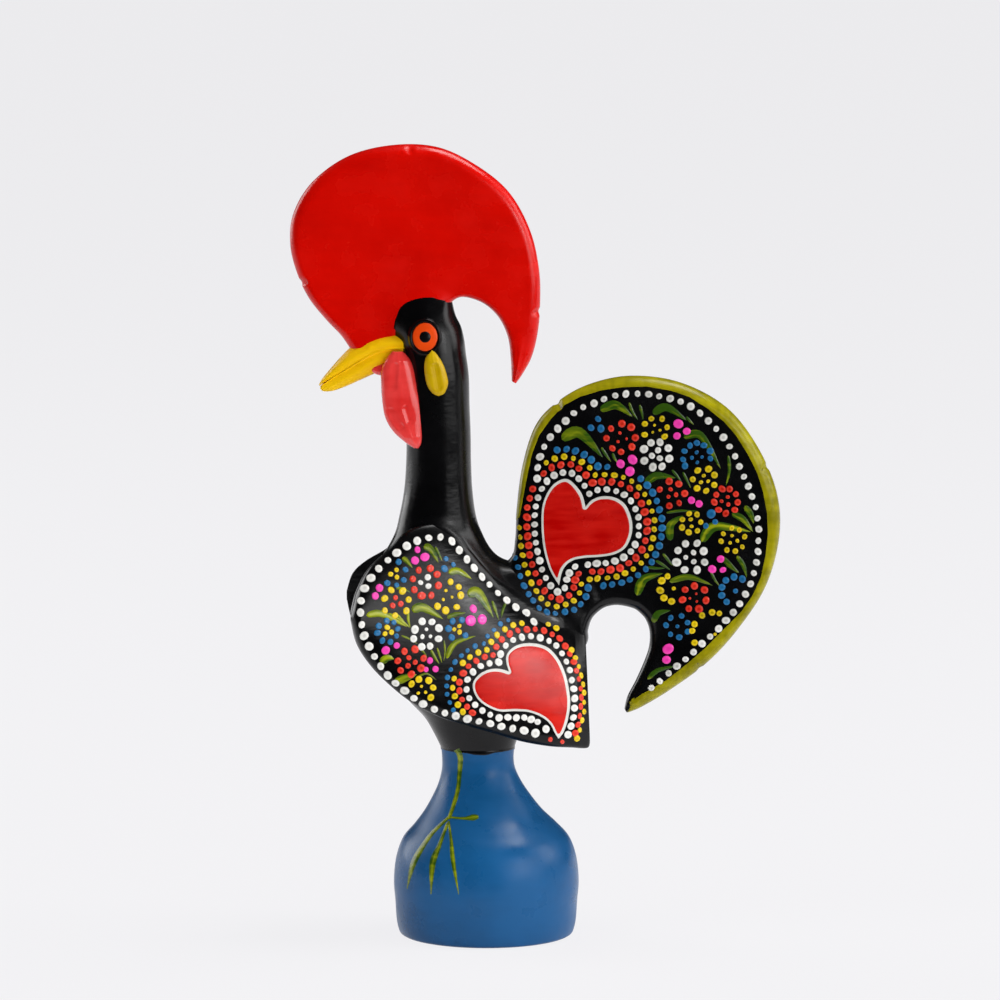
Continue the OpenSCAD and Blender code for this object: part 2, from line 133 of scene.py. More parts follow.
# Body rows: height above the mouth, front, rear, half width, taper towards the tail
BODY_ROWS = [
    [0, -MOUTH_R, MOUTH_R, MOUTH_R, 0],
    [5, -15.5, 15, 14, 0.05],
    [11, -19, 20.5, 15.3, 0.15],
    [17, -24.5, 26.5, 16.6, 0.3],
    [25, -31.5, 32, CHEST_W, 0.42],
    [36, -37.5, 35, CHEST_W, 0.45],
    [46, -40.5, 33.5, CHEST_W - 0.4, 0.45],
    [53, -40.5, 28, CHEST_W - 1, 0.43],
    [60, -38.5, 18.1, CHEST_W - 2, 0.3],
    [66, -36, 10, CHEST_W - 2.8, 0.2],
    [71, -32.4, 4.8, 13.4, 0.1],
    [77, -29.3, 1.5, 12.6, 0.03],
    [83, -27.8, -0.6, 12.2, 0],
]
# Neck rows: height above the body, then the same but from the neck's own axis
NECK_ROWS = [
    [9.5, -11.1, 13.1, NECK_W + 0.3],
    [20, -10.3, 12.6, NECK_W],
    [30, -10.3, 12.5, NECK_W],
]
# Head rows: height above the neck, front, rear, half width
HEAD_ROWS = [
    [0, -10.9, 12.1, NECK_W],
    [10, -11.4, 11.8, NECK_W],
    [18, -12.4, 10.8, NECK_W],
    [23, -13.6, 10.2, NECK_W - 0.3],
    [27.5, -14.5, 9.1, NECK_W - 0.8],
    [31, -14.4, 7.4, NECK_W - 1.7],
    [34.5, -13.3, 6.1, NECK_W - 3.4],
    [37.2, -10.8, 4.3, NECK_W - 6.2],
    [39.2, -7.5, 1.2, NECK_W - 9.2],
    [40, -4, -3, 0.4],
]
NECK_X = HEAD_AT[0] - BODY_AT[0]
TRUNK_ROWS = BODY_ROWS + [[foot - MOUTH_Z + r[0], NECK_X + r[1], NECK_X + r[2], r[3], 0]
                          for foot, rows in ((BODY_TOP, NECK_ROWS), (NECK_TOP, HEAD_ROWS)) for r in rows]
BODY_END = len(BODY_ROWS) - 1
NECK_END = BODY_END + len(NECK_ROWS) + 1

# Pedestal rows: height, middle, radius
PEDESTAL_ROWS = [
    [0, 0, FOOT_R - FOOT_EDGE],
    [FOOT_EDGE, 0, FOOT_R],
    [5, 0, FOOT_R + 0.9],
    [12, 0, FOOT_DRUM - 0.5],
    [19, 0, FOOT_DRUM],
    [27, 0, FOOT_DRUM - 0.8],
    [MOUTH_Z - 33, 0, FOOT_DRUM - 3.2],
    [MOUTH_Z - 28, -0.1, FOOT_DRUM - 7.4],
    [MOUTH_Z - 23, -0.3 * LEAN, MOUTH_R + 8.1],
    [MOUTH_Z - 18, -0.5 * LEAN, MOUTH_R + 4.7],
    [MOUTH_Z - 13, -0.7 * LEAN, MOUTH_R + 1.9],
    [MOUTH_Z - 8, -0.9 * LEAN, MOUTH_R + 0.1],
    [MOUTH_Z - 4, -LEAN, MOUTH_R - 0.3],
    [MOUTH_Z, -LEAN, MOUTH_R],
]
# Crest rows, from the beak round to the tip of the hook: outer x, z and inner x, z
CREST_ROWS = [
    [-30.2, 20.2, -15, 22],
    [-33.4, 24.8, -13, 25.5],
    [-38.5, 30.2, -10.5, 28.5],
    [-44.5, 37.8, -9, 30.5],
    [-48.6, 46.5, -8, 31.5],
    [-51.1, 57, -7, 32],
    [-49.9, 68.2, -6, 32.4],
    [-43, 79.4, -5, 32.7],
    [-30.3, 88.4, -4, 33],
    [-14.5, 92.2, -2.5, 33.2],
    [1.2, 91.3, -1, 33.6],
    [15.2, 84.5, 0.7, 34.3],
    [26.3, 75, 2.5, 35.5],
    [33.6, 61.5, 5, 37],
    [36.8, 47, 10, 38.2],
    [37, 33.5, 16.8, 36],
    [36, 24, 22.3, 31],
    [34, 16.5, 25.6, 23.9],
    [31.2, 11.2, 26.7, 15.7],
    [28.6, 7.4, 27, 8.3],
]
# Tail rows, from the tongue in the rump round to the tip of the hook
TAIL_ROWS = [
    [2, 55, 28, 30],
    [11.4, 66, 37.9, 37],
    [13.2, 74.4, 38.9, 42],
    [13.8, 85, 40.6, 46.2],
    [15.8, 100.5, 43.1, 48.8],
    [20.4, 114.9, 45, 50],
    [28.1, 123.4, 46.5, 50.5],
    [39.3, 129.7, 48.2, 50.8],
    [54, 132.7, 50, 50.8],
    [71.2, 130.4, 52, 50.5],
    [87.3, 121.9, 54, 50],
    [98.4, 108.3, 56, 49.2],
    [105.8, 91.2, 58, 47.5],
    [106.8, 75, 59.6, 45.5],
    [102.1, 57.5, 60.9, 41.8],
    [92.2, 42, 60.9, 36.8],
    [81.3, 30.1, 59.5, 31.7],
    [68.4, 20.5, 56.2, 24],
    [58.4, 14.5, 53.2, 18.1],
    [53, 12.2, 52.1, 13.6],
]
# Wing rows, from the breast to the tip: lower x, z, upper x, z, share of the rim kept above
# and share of the right wing's sag
WING_ROWS = [
    [-45.4, 49.5, -45.4, 52.5, 1, 0],
    [-43.3, 41.3, -43.3, 60, 1, 0.2],
    [-38.3, 33.5, -38.8, 67.8, 0.8, 0.75],
    [-31.3, 26.2, -31.8, 74, 0.5, 1],
    [-23.4, 19.8, -24.9, 80.2, 0.25, 1],
    [-14.4, 14.8, -15, 81.8, 0.05, 0.7],
    [-4.5, 11.2, -6.5, 76.5, 0, 0.2],
    [5.4, 8, 2.4, 66, 0, 0],
    [15.3, 4.7, 11.3, 57, 0, 0],
    [25.2, 2.6, 21.2, 49.5, 0, 0],
    [33.2, 1.8, 31.3, 45, 0, 0],
    [38.4, 1.3, 36.8, 43.1, 0.1, 0],
    [39.5, 2.8, 38, 41.2, 0.1, 0],
]
# Beak rows, root to tip: ridge or chin x, z, mouth x, z, share of the root's width
BEAK_UPPER_ROWS = [
    [-9, 25.5, -8, 20.4, 0.94],
    [-16, 25.6, -14, 20.6, 1],
    [-23, 24, -20.5, 19.4, 0.94],
    [-29.2, 20.8, -26.5, 16.2, 0.8],
    [-33.4, 16.9, -31, 13.2, 0.65],
    [-37.5, 12.2, -35.7, 10.3, 0.48],
    [-40.2, 8.8, -39.4, 8, 0.32],
    [-41.1, 7, -40.8, 6.7, 0.14],
]
BEAK_LOWER_ROWS = [
    [-9, 14.6, -8, 20.4, 0.82],
    [-14.5, 14.1, -14, 20.6, 0.88],
    [-21, 11.2, -20.5, 19.4, 0.82],
    [-27, 8.5, -26.5, 16.2, 0.7],
    [-31.5, 6.5, -31, 13.2, 0.58],
    [-36, 4.9, -35.7, 10.3, 0.42],
    [-39.4, 4.7, -39.3, 7.7, 0.28],
    [-40.7, 5.7, -40.6, 6.5, 0.14],
]
# Wattle rows, from the tip up to the root: front x, z and rear x, z
WATTLE_ROWS = [
    [-8, -14.4, -5.8, -14.4],
    [-10.9, -12.4, -4.5, -12.4],
    [-15, -8.6, -4.2, -8.6],
    [-17.7, -4, -4.4, -4],
    [-18.8, 1.5, -5.1, 1.5],
    [-19.1, 7, -6.3, 7],
    [-19.2, 13, -7.5, 13],
    [-17.7, 17, -9, 17],
    [-15.2, 20, -11.5, 20],
]
# Ear lobe rows, from the bottom up
LOBE_ROWS = [
    [0.4, 4.6, 1.5, 4.6],
    [-1.5, 5.7, 3.2, 5.7],
    [-3.2, 8.5, 4.3, 8.8],
    [-4, 12.6, 3.9, 11.8],
    [-4.1, 16, 2.7, 15.5],
    [-3.3, 18.8, 0.9, 18.6],
    [-1.7, 20.8, -0.9, 20.8],
]
CHIN = np.array([-18.0, 3.0, 13.0])
CHIN_R = np.array([4.8, 3.0, 2.4])
EYE_X = -3.8
EYE_Y = NECK_W - 0.8
EYE_Z = 25.4
EYE_TILT = radians(6)
SIDES = {"left": -1, "right": 1}

# Painted pattern, picked as x, z on the near face. A heart is its two sides, from the notch to
# the tip and back.
TAIL_BORDER = [
    (17.9, 163.9), (18.1, 168.4), (20.6, 175.9), (25, 181.8), (32.3, 188.2), (39.4, 191.4),
    (47.4, 193.9), (55.3, 194.1), (62.6, 192.9), (71.3, 190), (78.7, 184), (85.1, 176.5), (89.3, 168.3),
    (93.1, 159.5), (95.6, 151.2), (96.3, 142.6), (95.5, 133), (92.8, 124.1), (86.8, 114.8),
    (78.2, 106.2), (69.9, 98.4), (58.2, 88.5), (55.3, 86.4),
]
TAIL_HEART = (
    [(35, 153.8), (33.6, 158.6), (29.8, 163.1), (26.6, 163.6), (22.7, 160.8), (19.9, 154.9), (19.4, 147.3),
     (20.2, 138.9), (22.4, 131.3), (25.6, 125.9)],
    [(25.6, 125.9), (27.1, 131.5), (30.2, 134.5), (34.8, 135.5), (40.7, 135.9), (45.7, 136.9), (49.5, 139.5),
     (51.5, 144.6), (51.2, 149.7), (49, 154.6), (45.2, 157.1), (40.6, 157.5), (37.1, 156.1), (35, 153.8)],
)
# Inner line of the tail's green rim, from the root round to the hook
RIM_LINE = [
    (11.2, 147.3), (12.1, 152.3), (13.9, 162.4), (16, 172.5), (18.5, 179.2), (22.7, 185.1), (27.3, 189.9),
    (33.1, 193), (40.6, 195.3), (48.1, 196.4), (56.5, 196.6), (64.8, 195.2), (71.5, 192.9), (78.1, 188.7),
    (84, 183.9), (88.2, 179), (92.4, 172.3), (95.8, 165.5), (97.9, 158.7), (99.3, 151.1), (99.6, 143.5),
    (98.8, 135.9), (97.2, 128.3), (94.2, 121.6), (90.1, 115.7), (84.2, 109.8), (77.6, 103), (70.9, 97.1),
    (63.4, 91.2), (56.7, 87.4), (50.5, 84.1),
]
WING_BORDER = [
    (18.9, 110.3), (15, 115.6), (8.7, 120.3), (2.1, 126.1), (-3.7, 132.3), (-9.8, 139.8), (-12.5, 143),
    (-17.2, 144.7), (-21.3, 144.6), (-25, 143.7), (-28.4, 142.3), (-31.8, 140.3), (-34.1, 138.3),
    (-37, 136.2), (-41.7, 131.4), (-44.5, 126.1), (-44.9, 120.4), (-44, 113.4), (-40.9, 106.2),
    (-36.7, 99.1), (-30.1, 92.5), (-22.4, 86.7), (-13.3, 82.9), (-4, 80.2), (4.9, 78.1), (13.5, 76),
    (17.5, 75), (21, 74.3),
]
WING_HEART = (
    [(7.6, 97.3), (4.2, 98.4), (0.7, 98.4), (-2.7, 97), (-5.1, 94.3), (-5.1, 91.2), (-3.4, 87.9),
     (-0.2, 85.3), (4.2, 83.4), (9.3, 83.3), (14.3, 82.8), (18.8, 81), (22, 78.3), (24, 74.5), (25.1, 72.8)],
    [(25.1, 72.8), (27, 75.3), (28.6, 80), (29.3, 85.6), (28.7, 91.2), (27.4, 96.2), (25.3, 100.6),
     (22.1, 104.3), (18.3, 106.1), (13.8, 106.7), (9.7, 105.9), (6.9, 103.5), (6.6, 100.4), (7.6, 97.3)],
)
# Width of the heart's white line, and how high the line and the red stand
HEART_LINE = 0.8
HEART_LINE_COAT = 0.12
HEART_COAT = 0.26
# Spacing and radius of the dots in the white borders
TAIL_BORDER_DOTS = (3.95, 1.25)
WING_BORDER_DOTS = (4.2, 1.4)
# Painted shade and light: the tail's paint is made deeper as painted shade, the wings' lighter as painted
# light and sheen
TAIL_PAINTED_SHADE = -0.3
WING_PAINTED_LIGHT = 0.1
# The red lies a little low and left in its white line, which is so thicker above
HEART_SHIFT = (-0.15, -0.12)
# Rows of dots round the hearts: paint, distance from the heart, spacing, radius, and how much nearer
# the row runs along the wing's rear edge
TAIL_ROUNDS = [("white", 2.4, 3.3, 1.25, 0), ("red", 5.2, 3.4, 1.3, 0), ("yellow", 7.8, 3.3, 1.05, 0),
               ("blue", 10.5, 3.3, 1.25, 0)]
WING_ROUNDS = [("white", 2.2, 3.3, 1.2, 0.5), ("red", 4.7, 3.2, 1.2, 0.7), ("yellow", 7, 3.2, 1.1, 1.9),
               ("blue", 9.3, 3.0, 0.95, 0)]
# Flowers: paint, middle x, z, radius, petals, first petal and span in degrees, petal radius, then
# paint, number and radius of the dots inside
TAIL_FLOWERS = [
    ("red", 47.7, 178.4, 5.1, 8, 1, 360, 1.25, "red", 3, 0.55),
    ("yellow", 59.8, 181.4, 4.2, 6, -36, 241, 1.1, "yellow", 3, 0.5),
    ("white", 60.1, 172.3, 4.7, 8, 25, 360, 1.4, "white", 3, 1.1),
    ("blue", 74.4, 171.3, 5.0, 8, -8, 228, 1.15, "blue", 4, 0.7),
    ("yellow", 77.0, 163.3, 4.1, 7, -30, 360, 1.15, "yellow", 3, 0.7),
    ("red", 65.5, 158.4, 4.4, 7, 2, 360, 1.2, "red", 3, 0.75),
    ("red", 84.7, 155.7, 4.3, 9, -10, 360, 1.15, "red", 3, 0.75),
    ("yellow", 72.4, 147.9, 3.5, 7, 0, 360, 1.05, "yellow", 2, 0.7),
    ("yellow", 87.3, 141.8, 4.3, 8, 10, 360, 0.95, "yellow", 3, 0.65),
    ("white", 72.4, 135.6, 5.2, 8, -23, 360, 1.45, "white", 3, 0.9),
    ("yellow", 66.3, 124.4, 4.9, 5, 112, 149, 1.25, "yellow", 1, 0.65),
    ("red", 73.6, 121.0, 4.4, 7, -13, 360, 1.3, "red", 3, 0.5),
    ("blue", 88.2, 123.4, 5.0, 6, 62, 166, 1.2, "blue", 1, 0.9),
    ("yellow", 81.0, 107.9, 7.9, 6, 78, 120, 1.15, "yellow", 1, 0.6),
    ("blue", 67.6, 110.8, 3.9, 7, 20, 360, 1.1, "blue", 1, 0.7),
]
WING_FLOWERS = [
    ("blue", -32.8, 133.0, 4.0, 7, 20, 360, 1.05, "yellow", 3, 0.95),
    ("red", -21.9, 129.7, 4.9, 8, -18, 360, 1.3, "white", 3, 1.05),
    ("yellow", -32.3, 123.2, 4.6, 7, 8, 360, 1.2, "red", 3, 1.0),
    ("yellow", -14.3, 124.6, 5.1, 6, -134, 213, 1.25, "yellow", 3, 0.6),
    ("white", -21.7, 111.7, 4.6, 8, -25, 360, 1.35, "white", 3, 0.75),
    ("blue", -35.3, 113.4, 3.7, 8, 10, 360, 1.05, "yellow", 3, 0.95),
    ("blue", -10.6, 112.9, 3.4, 6, -43, 271, 1.2, "yellow", 3, 0.85),
    ("red", -27.3, 102.2, 4.5, 7, 15, 360, 1.3, "red", 3, 0.95),
    ("yellow", -23.4, 91.9, 4.2, 5, -37, 183, 1.15, "yellow", 3, 0.55),
]
# Loose dots: paint, then x, z and radius of each
TAIL_DOTS = {
    "pink": [(67.8, 183.3, 1.7), (70.8, 180.6, 1.35), (67.3, 179, 1.3), (51.6, 170.6, 1.7),
             (47.4, 169.1, 1.5), (50.7, 166.4, 1.7), (72.5, 156, 1.3), (75.2, 154.7, 1.3),
             (82.9, 134.9, 1.35), (79.9, 131.3, 1.45), (83.7, 131, 1.1), (64.4, 102.7, 1.9),
             (63.8, 98.8, 1.5)],
    "blue": [(39.4, 185.1, 1.1), (36.9, 182, 1.2), (40.4, 181.7, 1.35), (79.5, 151.1, 1.6),
             (77.6, 146.8, 1.05), (80.9, 148.2, 1.05)],
}
WING_DOTS = {
    "red": [(22.2, 72.6, 0.9), (26.5, 71.6, 0.85)],
    "blue": [(-14.6, 137.2, 0.95), (-12, 135.1, 0.9), (-15.2, 133.9, 1.25)],
    "pink": [(-24.7, 140.8, 1.15), (-25.6, 137.2, 1.45), (-22.1, 138.2, 1.6), (-38.2, 128.4, 1.4),
             (-39.7, 125.8, 1.3), (-5, 119.6, 1.4), (-6, 115.6, 1.9), (-1.9, 115.8, 1.75),
             (-36.1, 106.7, 1.5), (-32.2, 108.2, 1.15), (-20.5, 102.4, 1.15), (-18.5, 99.3, 1.15),
             (-21.9, 99.3, 0.95)],
}
# Leaves: broad end, middle and point as x, z, then the width and how light the green is
TAIL_LEAVES = [
    (40.2, 188.2, 45.6, 190.1, 51.5, 185.9, 2.5, 0.5), (50.4, 191, 51.4, 188, 53.5, 184.6, 0.8, 0.3),
    (54.1, 190.1, 54.8, 187.6, 55.3, 184.6, 0.8, 0.3), (58.8, 186.9, 63.5, 189.2, 70.6, 184.6, 2.3, 0.4),
    (70.6, 185.8, 71.9, 184.3, 73.3, 182.9, 0.7, 0.2), (26.6, 177.8, 32.7, 180.3, 41, 171.5, 3.2, 0.35),
    (40.6, 175, 42.1, 172.5, 44, 169.8, 0.8, 0.3), (44.5, 172.9, 45.2, 171.2, 46.5, 169.1, 0.8, 0.5),
    (69.7, 178.4, 75.7, 179.1, 82.8, 167.3, 2.2, 0.5), (85.5, 171.9, 85.9, 166.4, 84.7, 161.2, 0.9, 0.4),
    (56.1, 162.2, 60.3, 164.8, 66.9, 164, 2.2, 0.5), (65.5, 166.9, 67.3, 164.8, 69.2, 162.1, 0.7, 0.2),
    (69.4, 166.1, 70.7, 163.5, 72.2, 160.4, 0.7, 0.4), (76.2, 141, 80.8, 146.6, 93.5, 144.6, 2.8, 0.9),
    (86.8, 151.2, 90.8, 149.1, 94.3, 144.6, 1.8, 0.6), (91.4, 153.9, 93.5, 150.8, 94.6, 147.6, 1.7, 0.4),
    (65.1, 141.6, 65.1, 147.1, 69.5, 150.5, 2.2, 0.4), (63.6, 151.5, 68.2, 152.2, 74.7, 152.1, 0.8, 0.4),
    (53.3, 121.9, 55.7, 127.7, 62.4, 129.8, 2.5, 0.7), (56.7, 132.1, 59.9, 131.7, 63.3, 131.7, 0.8, 0.2),
    (59.9, 134.4, 62.4, 132.9, 65.1, 131, 0.8, 0.2), (62.4, 137, 64.1, 134.8, 65.9, 132.5, 0.8, 0.2),
    (64.8, 126.8, 71.6, 128.5, 80, 125.5, 1.7, 0.4), (79.4, 130.3, 80.8, 127.6, 82.7, 124.9, 0.7, 0.2),
    (59, 112.1, 60.8, 115.4, 65.1, 116.5, 1.8, 0.2), (83.7, 135.4, 86.2, 132.6, 89.4, 129.9, 1.5, 0.4),
    (88.6, 136, 90.9, 132.6, 92.2, 128.2, 1.3, 0.5), (57.1, 91.8, 60.8, 95, 67.1, 96.6, 1.3, 0.3),
]
WING_LEAVES = [
    (-22.5, 141.9, -20, 140.8, -17.3, 136.1, 1.9, 0.4),
    (-18.4, 141.5, -17.4, 139.5, -16, 136.6, 0.8, 0.3),
    (-30.1, 138.4, -28.5, 137.1, -26.5, 134.7, 1.3, 0.5),
    (-13.7, 132.2, -10.5, 132.9, -5.6, 129.9, 1.9, 0.5), (-7, 124.4, -3.2, 124.8, 2.1, 116.2, 2.8, 0.5),
    (1.7, 121.9, 2.8, 118.9, 4, 115.3, 0.9, 0.4), (6.6, 120.7, 5.5, 118.4, 5, 115.9, 0.8, 0.2),
    (-32.4, 128.1, -30.2, 127.8, -27.3, 126.4, 0.9, 0.3),
    (-42.9, 119.3, -37.4, 119.5, -28.6, 114.6, 1.9, 1),
    (-34.9, 119.6, -31.2, 117.2, -27.7, 114.3, 0.8, 0.8),
    (-28, 120.5, -28.1, 117.1, -27.4, 114.2, 0.8, 0.7),
    (-31.8, 119.1, -29.9, 116.5, -27.7, 114.6, 0.6, 0.9),
    (-26.8, 120, -22.9, 121, -15.8, 116.7, 2.5, 0.5),
    (-14.6, 102.9, -11.6, 108.1, -4.3, 110.2, 1.6, 0.4),
    (-15.5, 109.2, -15.1, 105.7, -15.6, 102, 0.5, 0.3),
    (-20.1, 106, -18.9, 103.7, -17.2, 101.1, 0.9, 0.4), (-17.9, 106.8, -17, 104, -16.2, 101.4, 0.6, 0.4),
    (-38, 102.3, -35.6, 103.9, -33.2, 103.5, 2.1, 0.7), (-33, 95.2, -29.3, 96.6, -25.2, 97.6, 2.3, 0.6),
    (-25.5, 96.5, -21.7, 97.8, -18.3, 95.5, 0.6, 0.2),
    (-30.5, 111.6, -28, 110.5, -24.9, 108.5, 0.6, 0.6), (-24.2, 107, -23, 105.8, -21.4, 103.6, 0.6, 0.3),
    (-14.4, 117, -11.5, 118, -7.7, 118.4, 1.3, 0.2),
]
# Painted leg and toes on the pedestal: line as x, z, and its width along the way
FOOT_LINES = [
    ([(-10.9, 67.9), (-9.5, 65.2), (-9.8, 58.8), (-10.4, 53.8), (-11.8, 49), (-13.7, 44)],
     [2.2, 2, 1.6, 1.5, 1.4, 1.2]),
    ([(-13.8, 44.5), (-20.7, 37.6), (-26.1, 28.7), (-28.5, 18.9)], [0.9, 1.3, 1.9, 0.3]),
    ([(-14.1, 42.8), (-17, 36), (-19.6, 29.4), (-20.2, 18.7)], [0.9, 1.4, 2.2, 0.3]),
    ([(-13.8, 43.4), (-13, 37.5), (-12.4, 30.7), (-10.5, 19.6)], [0.8, 1.2, 1.6, 0.2]),
    ([(-13.4, 44.6), (-8.1, 44.7), (-5.2, 45.1), (-3.2, 45.4)], [0.7, 1, 2, 1]),
]
# Small chips in the edges of the crest and the tail
CREST_NICKS = [(-64.5, 234.1), (-27, 280.6), (17.9, 223)]
TAIL_NICKS = [(25.4, 189.7), (98.7, 166.8), (75, 95.9)]
NICK_DEPTH, NICK_REACH = 1.3, 1.8
# Hollows in the beak, the wattles and the ear lobes
NOSTRIL = [(-47.1, 209.3), (-43.2, 210.9)]
WATTLE_FOLDS = [[(-28.7, 190), (-27.2, 185.6)], [(-34, 189.2), (-32.4, 185.9), (-30.4, 183.4)],
                [(-32.2, 205.2), (-33.1, 197.4)]]
LOBE_FOLD = [(-18.4, 205.2), (-17.2, 197.8)]
# Depth and reach of these hollows
MOUTH_GROOVE = (0.6, 2.3)
NOSTRIL_GROOVE = (0.7, 1.6)
WATTLE_GROOVE = (0.5, 1.4)
LOBE_GROOVE = (0.8, 1.5)
# Edge of the black paint where it runs onto the crest, above and then below
BROW = [(-32.7, 217.6), (-32.1, 221.1), (-30.5, 223), (-27.9, 225.4), (-22.1, 227.7), (-17.1, 227.9),
        (-14.2, 227.4)]
BROW_UNDER = [(-15.6, 226.4), (-19, 224.6), (-24, 223), (-28.5, 220.5), (-31.6, 216.6)]
# Where the black paint ends above or below the seam, round from the tail's side, in degrees
PAINT_LINE = [(0, 67.8), (45, 67.3), (80, 66.3), (100, 66.3), (125, 67.5), (150, 67.4), (180, 66.8)]
# How far the seam's paint laps onto the other piece
SEAM_REACH = 0.6
# Wobble of the brush, the same in every run
draw = random.Random(7)


# Curves and skins

def smooth_rows(rows, steps):
    """Rows along smooth curves through the given ones, each span in so many steps."""
    rows = np.array(rows, float)
    padded = np.vstack([rows[:1], rows, rows[-1:]])
    fine = []
    for i in range(len(rows) - 1):
        a, b, c, d = padded[i:i + 4]
        for t in np.arange(steps) / steps:
            fine.append(0.5 * (2 * b + (c - a) * t + (2 * a - 5 * b + 4 * c - d) * t**2
                               + (3 * b - a - 3 * c + d) * t**3))
    return np.array(fine + [rows[-1]])


# Turns a place into the like place on the other side
MIRROR = np.array([1, -1, 1])


def unit(value):
    """A value kept between 0 and 1."""
    return min(1.0, max(0.0, value))


def turns(count):
    """Angles all round, from 0."""
    return [2 * pi * j / count for j in range(count)]


def unevenness(point, size=24.0, seed=0.0):
    """Slow hand-made unevenness at a point in the part's frame, from -1 to 1."""
    return noise.noise(Vector(point) / size + Vector((seed, 0, seed)))


def trunk_ring(row):
    """Egg-shaped ring of the trunk, uneven as hands leave it."""
    z, front, rear, w, taper = row
    middle, half = (front + rear) / 2, (rear - front) / 2
    ring = []
    for a in turns(RING_POINTS):
        s = sin(a)
        y = copysign(w * abs(s) ** (1 - 0.3 * taper) * (1 - taper * cos(a)), s)
        point = np.array([middle + half * cos(a), y, z]) + BODY_AT
        out = np.array([cos(a), s, 0])
        ring.append(point + out * HAND * unevenness(point))
    return ring


def slab_profile(width, edge, across):
    """Distance along a slab and share of its half thickness, rounded at both edges."""
    e = min(edge, width * 0.4)
    quarter = np.linspace(0, pi / 2, 9)
    inner = np.linspace(0, 1, across + 2)[1:-1]
    start = [(e * (1 - cos(a)), sin(a)) for a in quarter]
    middle = [(e + (width - 2 * e) * u, 1 + CROWN * sin(pi * u)) for u in inner]
    return start + middle + [(width - s, share) for s, share in reversed(start)]


def slab_rows(rows):
    """Smooth rows of a slab: its edge points, and how much of the root's extra thickness each row has."""
    root = [[unit((5 - i) / 3)] for i in range(len(rows))]
    return smooth_rows(np.hstack([rows, root]), SLAB_STEPS)


def half_thickness(width, thick, root_thick, edge, root):
    """Half the thickness of a slab at its outer and inner edge, less where it narrows to its tip."""
    tip = min(1, width / (2 * edge) + 0.25)
    return tip * thick / 2, tip * (thick + (root_thick - thick) * root) / 2


def slab_rings(rows, thick, root_thick, edge, across=36):
    """Rings of a slab through rows of edge points, thicker at the inner edge of its root."""
    rings = []
    for r in slab_rows(rows):
        p, q = r[:2], r[2:4]
        width = norm(q - p)
        half = half_thickness(width, thick, root_thick, edge, r[4])
        side = []
        for s, share in slab_profile(width, edge, across):
            at = p + (q - p) * s / width
            y = (half[0] + (half[1] - half[0]) * min(s / width, 1)) * share
            side.append(np.array([at[0], y, at[1]]))
        rings.append([p * MIRROR for p in side] + side[-2:0:-1])
    return rings


def round_ring(x, z, r):
    """Level round ring."""
    return [np.array([x, 0, z]) + np.array([cos(a), sin(a), 0]) * r for a in turns(RING_POINTS)]


def skin(rings, closed=False):
    """Points and faces of the skin over a stack of rings: capped, or closed on itself."""
    n, count = len(rings[0]), len(rings)
    points = [p for ring in rings for p in ring]
    faces = []
    for i in range(count if closed else count - 1):
        a0, b0 = i * n, (i + 1) % count * n
        for j in range(n):
            k = (j + 1) % n
            faces.append((a0 + j, a0 + k, b0 + k, b0 + j))
    if not closed:
        faces.append(tuple(reversed(range(n))))
        faces.append(tuple(range((count - 1) * n, count * n)))
    return points, faces


def joined(*skins):
    """Several skins as one."""
    points, faces = [], []
    for p, f in skins:
        faces += [tuple(i + len(points) for i in face) for face in f]
        points += list(p)
    return points, faces


def shifted(made, offset):
    """A skin moved by an offset."""
    points, faces = made
    return [np.array(p) + offset for p in points], faces


def turned_out(faces, points):
    """Faces of a closed skin, all turned outward if they looked inward."""
    points = np.array(points) - np.mean(points, axis=0)
    volume = 0.0
    for size in {len(face) for face in faces}:
        corners = points[np.array([face for face in faces if len(face) == size])]
        for k in range(1, size - 1):
            volume += np.sum(np.cross(corners[:, k], corners[:, k + 1]) * corners[:, 0])
    return faces if volume > 0 else [tuple(reversed(face)) for face in faces]


def ways_out(points, faces):
    """Outward direction at each point of a closed skin."""
    points = np.array(points)
    quads = np.array([face for face in turned_out(faces, points) if len(face) == 4])
    a, b, c, d = (points[quads[:, k]] for k in range(4))
    ways = np.zeros_like(points)
    for k in range(4):
        np.add.at(ways, quads[:, k], np.cross(c - a, d - b))
    return ways / np.maximum(norm(ways, axis=1), 1e-9)[:, None]


def blended(made, others, reach):
    """A skin that swells a little near others, as clay smoothed over a joint does."""
    points, faces = made
    out = []
    for p, way in zip(points, ways_out(points, faces)):
        swell = 0.0
        for other in others:
            near, _, _, gap = other.find_nearest(Vector(p), reach)
            if near is not None:
                swell = max(swell, 1 - gap / reach)
        out.append(p + way * reach / 4 * swell**2)
    return out, faces


def placed(name, data):
    """New object, linked to the scene."""
    made = bpy.data.objects.new(name, data)
    bpy.context.scene.collection.objects.link(made)
    return made


def piece(name, made, paint, nodes=(), shades=None):
    """A mesh piece of the part, in place, riding on the part's one body."""
    points, faces = made
    material, slot = paint
    mesh = bpy.data.meshes.new(name)
    mesh.from_pydata([tuple(float(v) * MM for v in p) for p in points], [], faces)
    if shades:
        mesh.attributes.new(SHADE, "FLOAT", "POINT").data.foreach_set("value", shades)
    mesh.validate()
    mesh.polygons.foreach_set("use_smooth", [True] * len(mesh.polygons))
    mesh.update()
    make_outward(mesh)
    mesh.set_sharp_from_angle(angle=radians(SHARP))
    mesh.materials.append(material)
    made_object = placed(name, mesh)
    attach(made_object, "root")
    if nodes:
        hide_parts(*nodes)


def cover(node, made, paint):
    """The painted skin that takes a node's place."""
    piece(f"{node}_painted", made, paint, [node])


def make_outward(mesh):
    """Turns the faces outward."""
    bm = bmesh.new()
    bm.from_mesh(mesh)
    bmesh.ops.recalc_face_normals(bm, faces=bm.faces)
    bm.to_mesh(mesh)
    bm.free()


# Materials

# Name of the tone that each point of a painted dab carries, from 0, deep, to 1, full colour
SHADE = "shade"
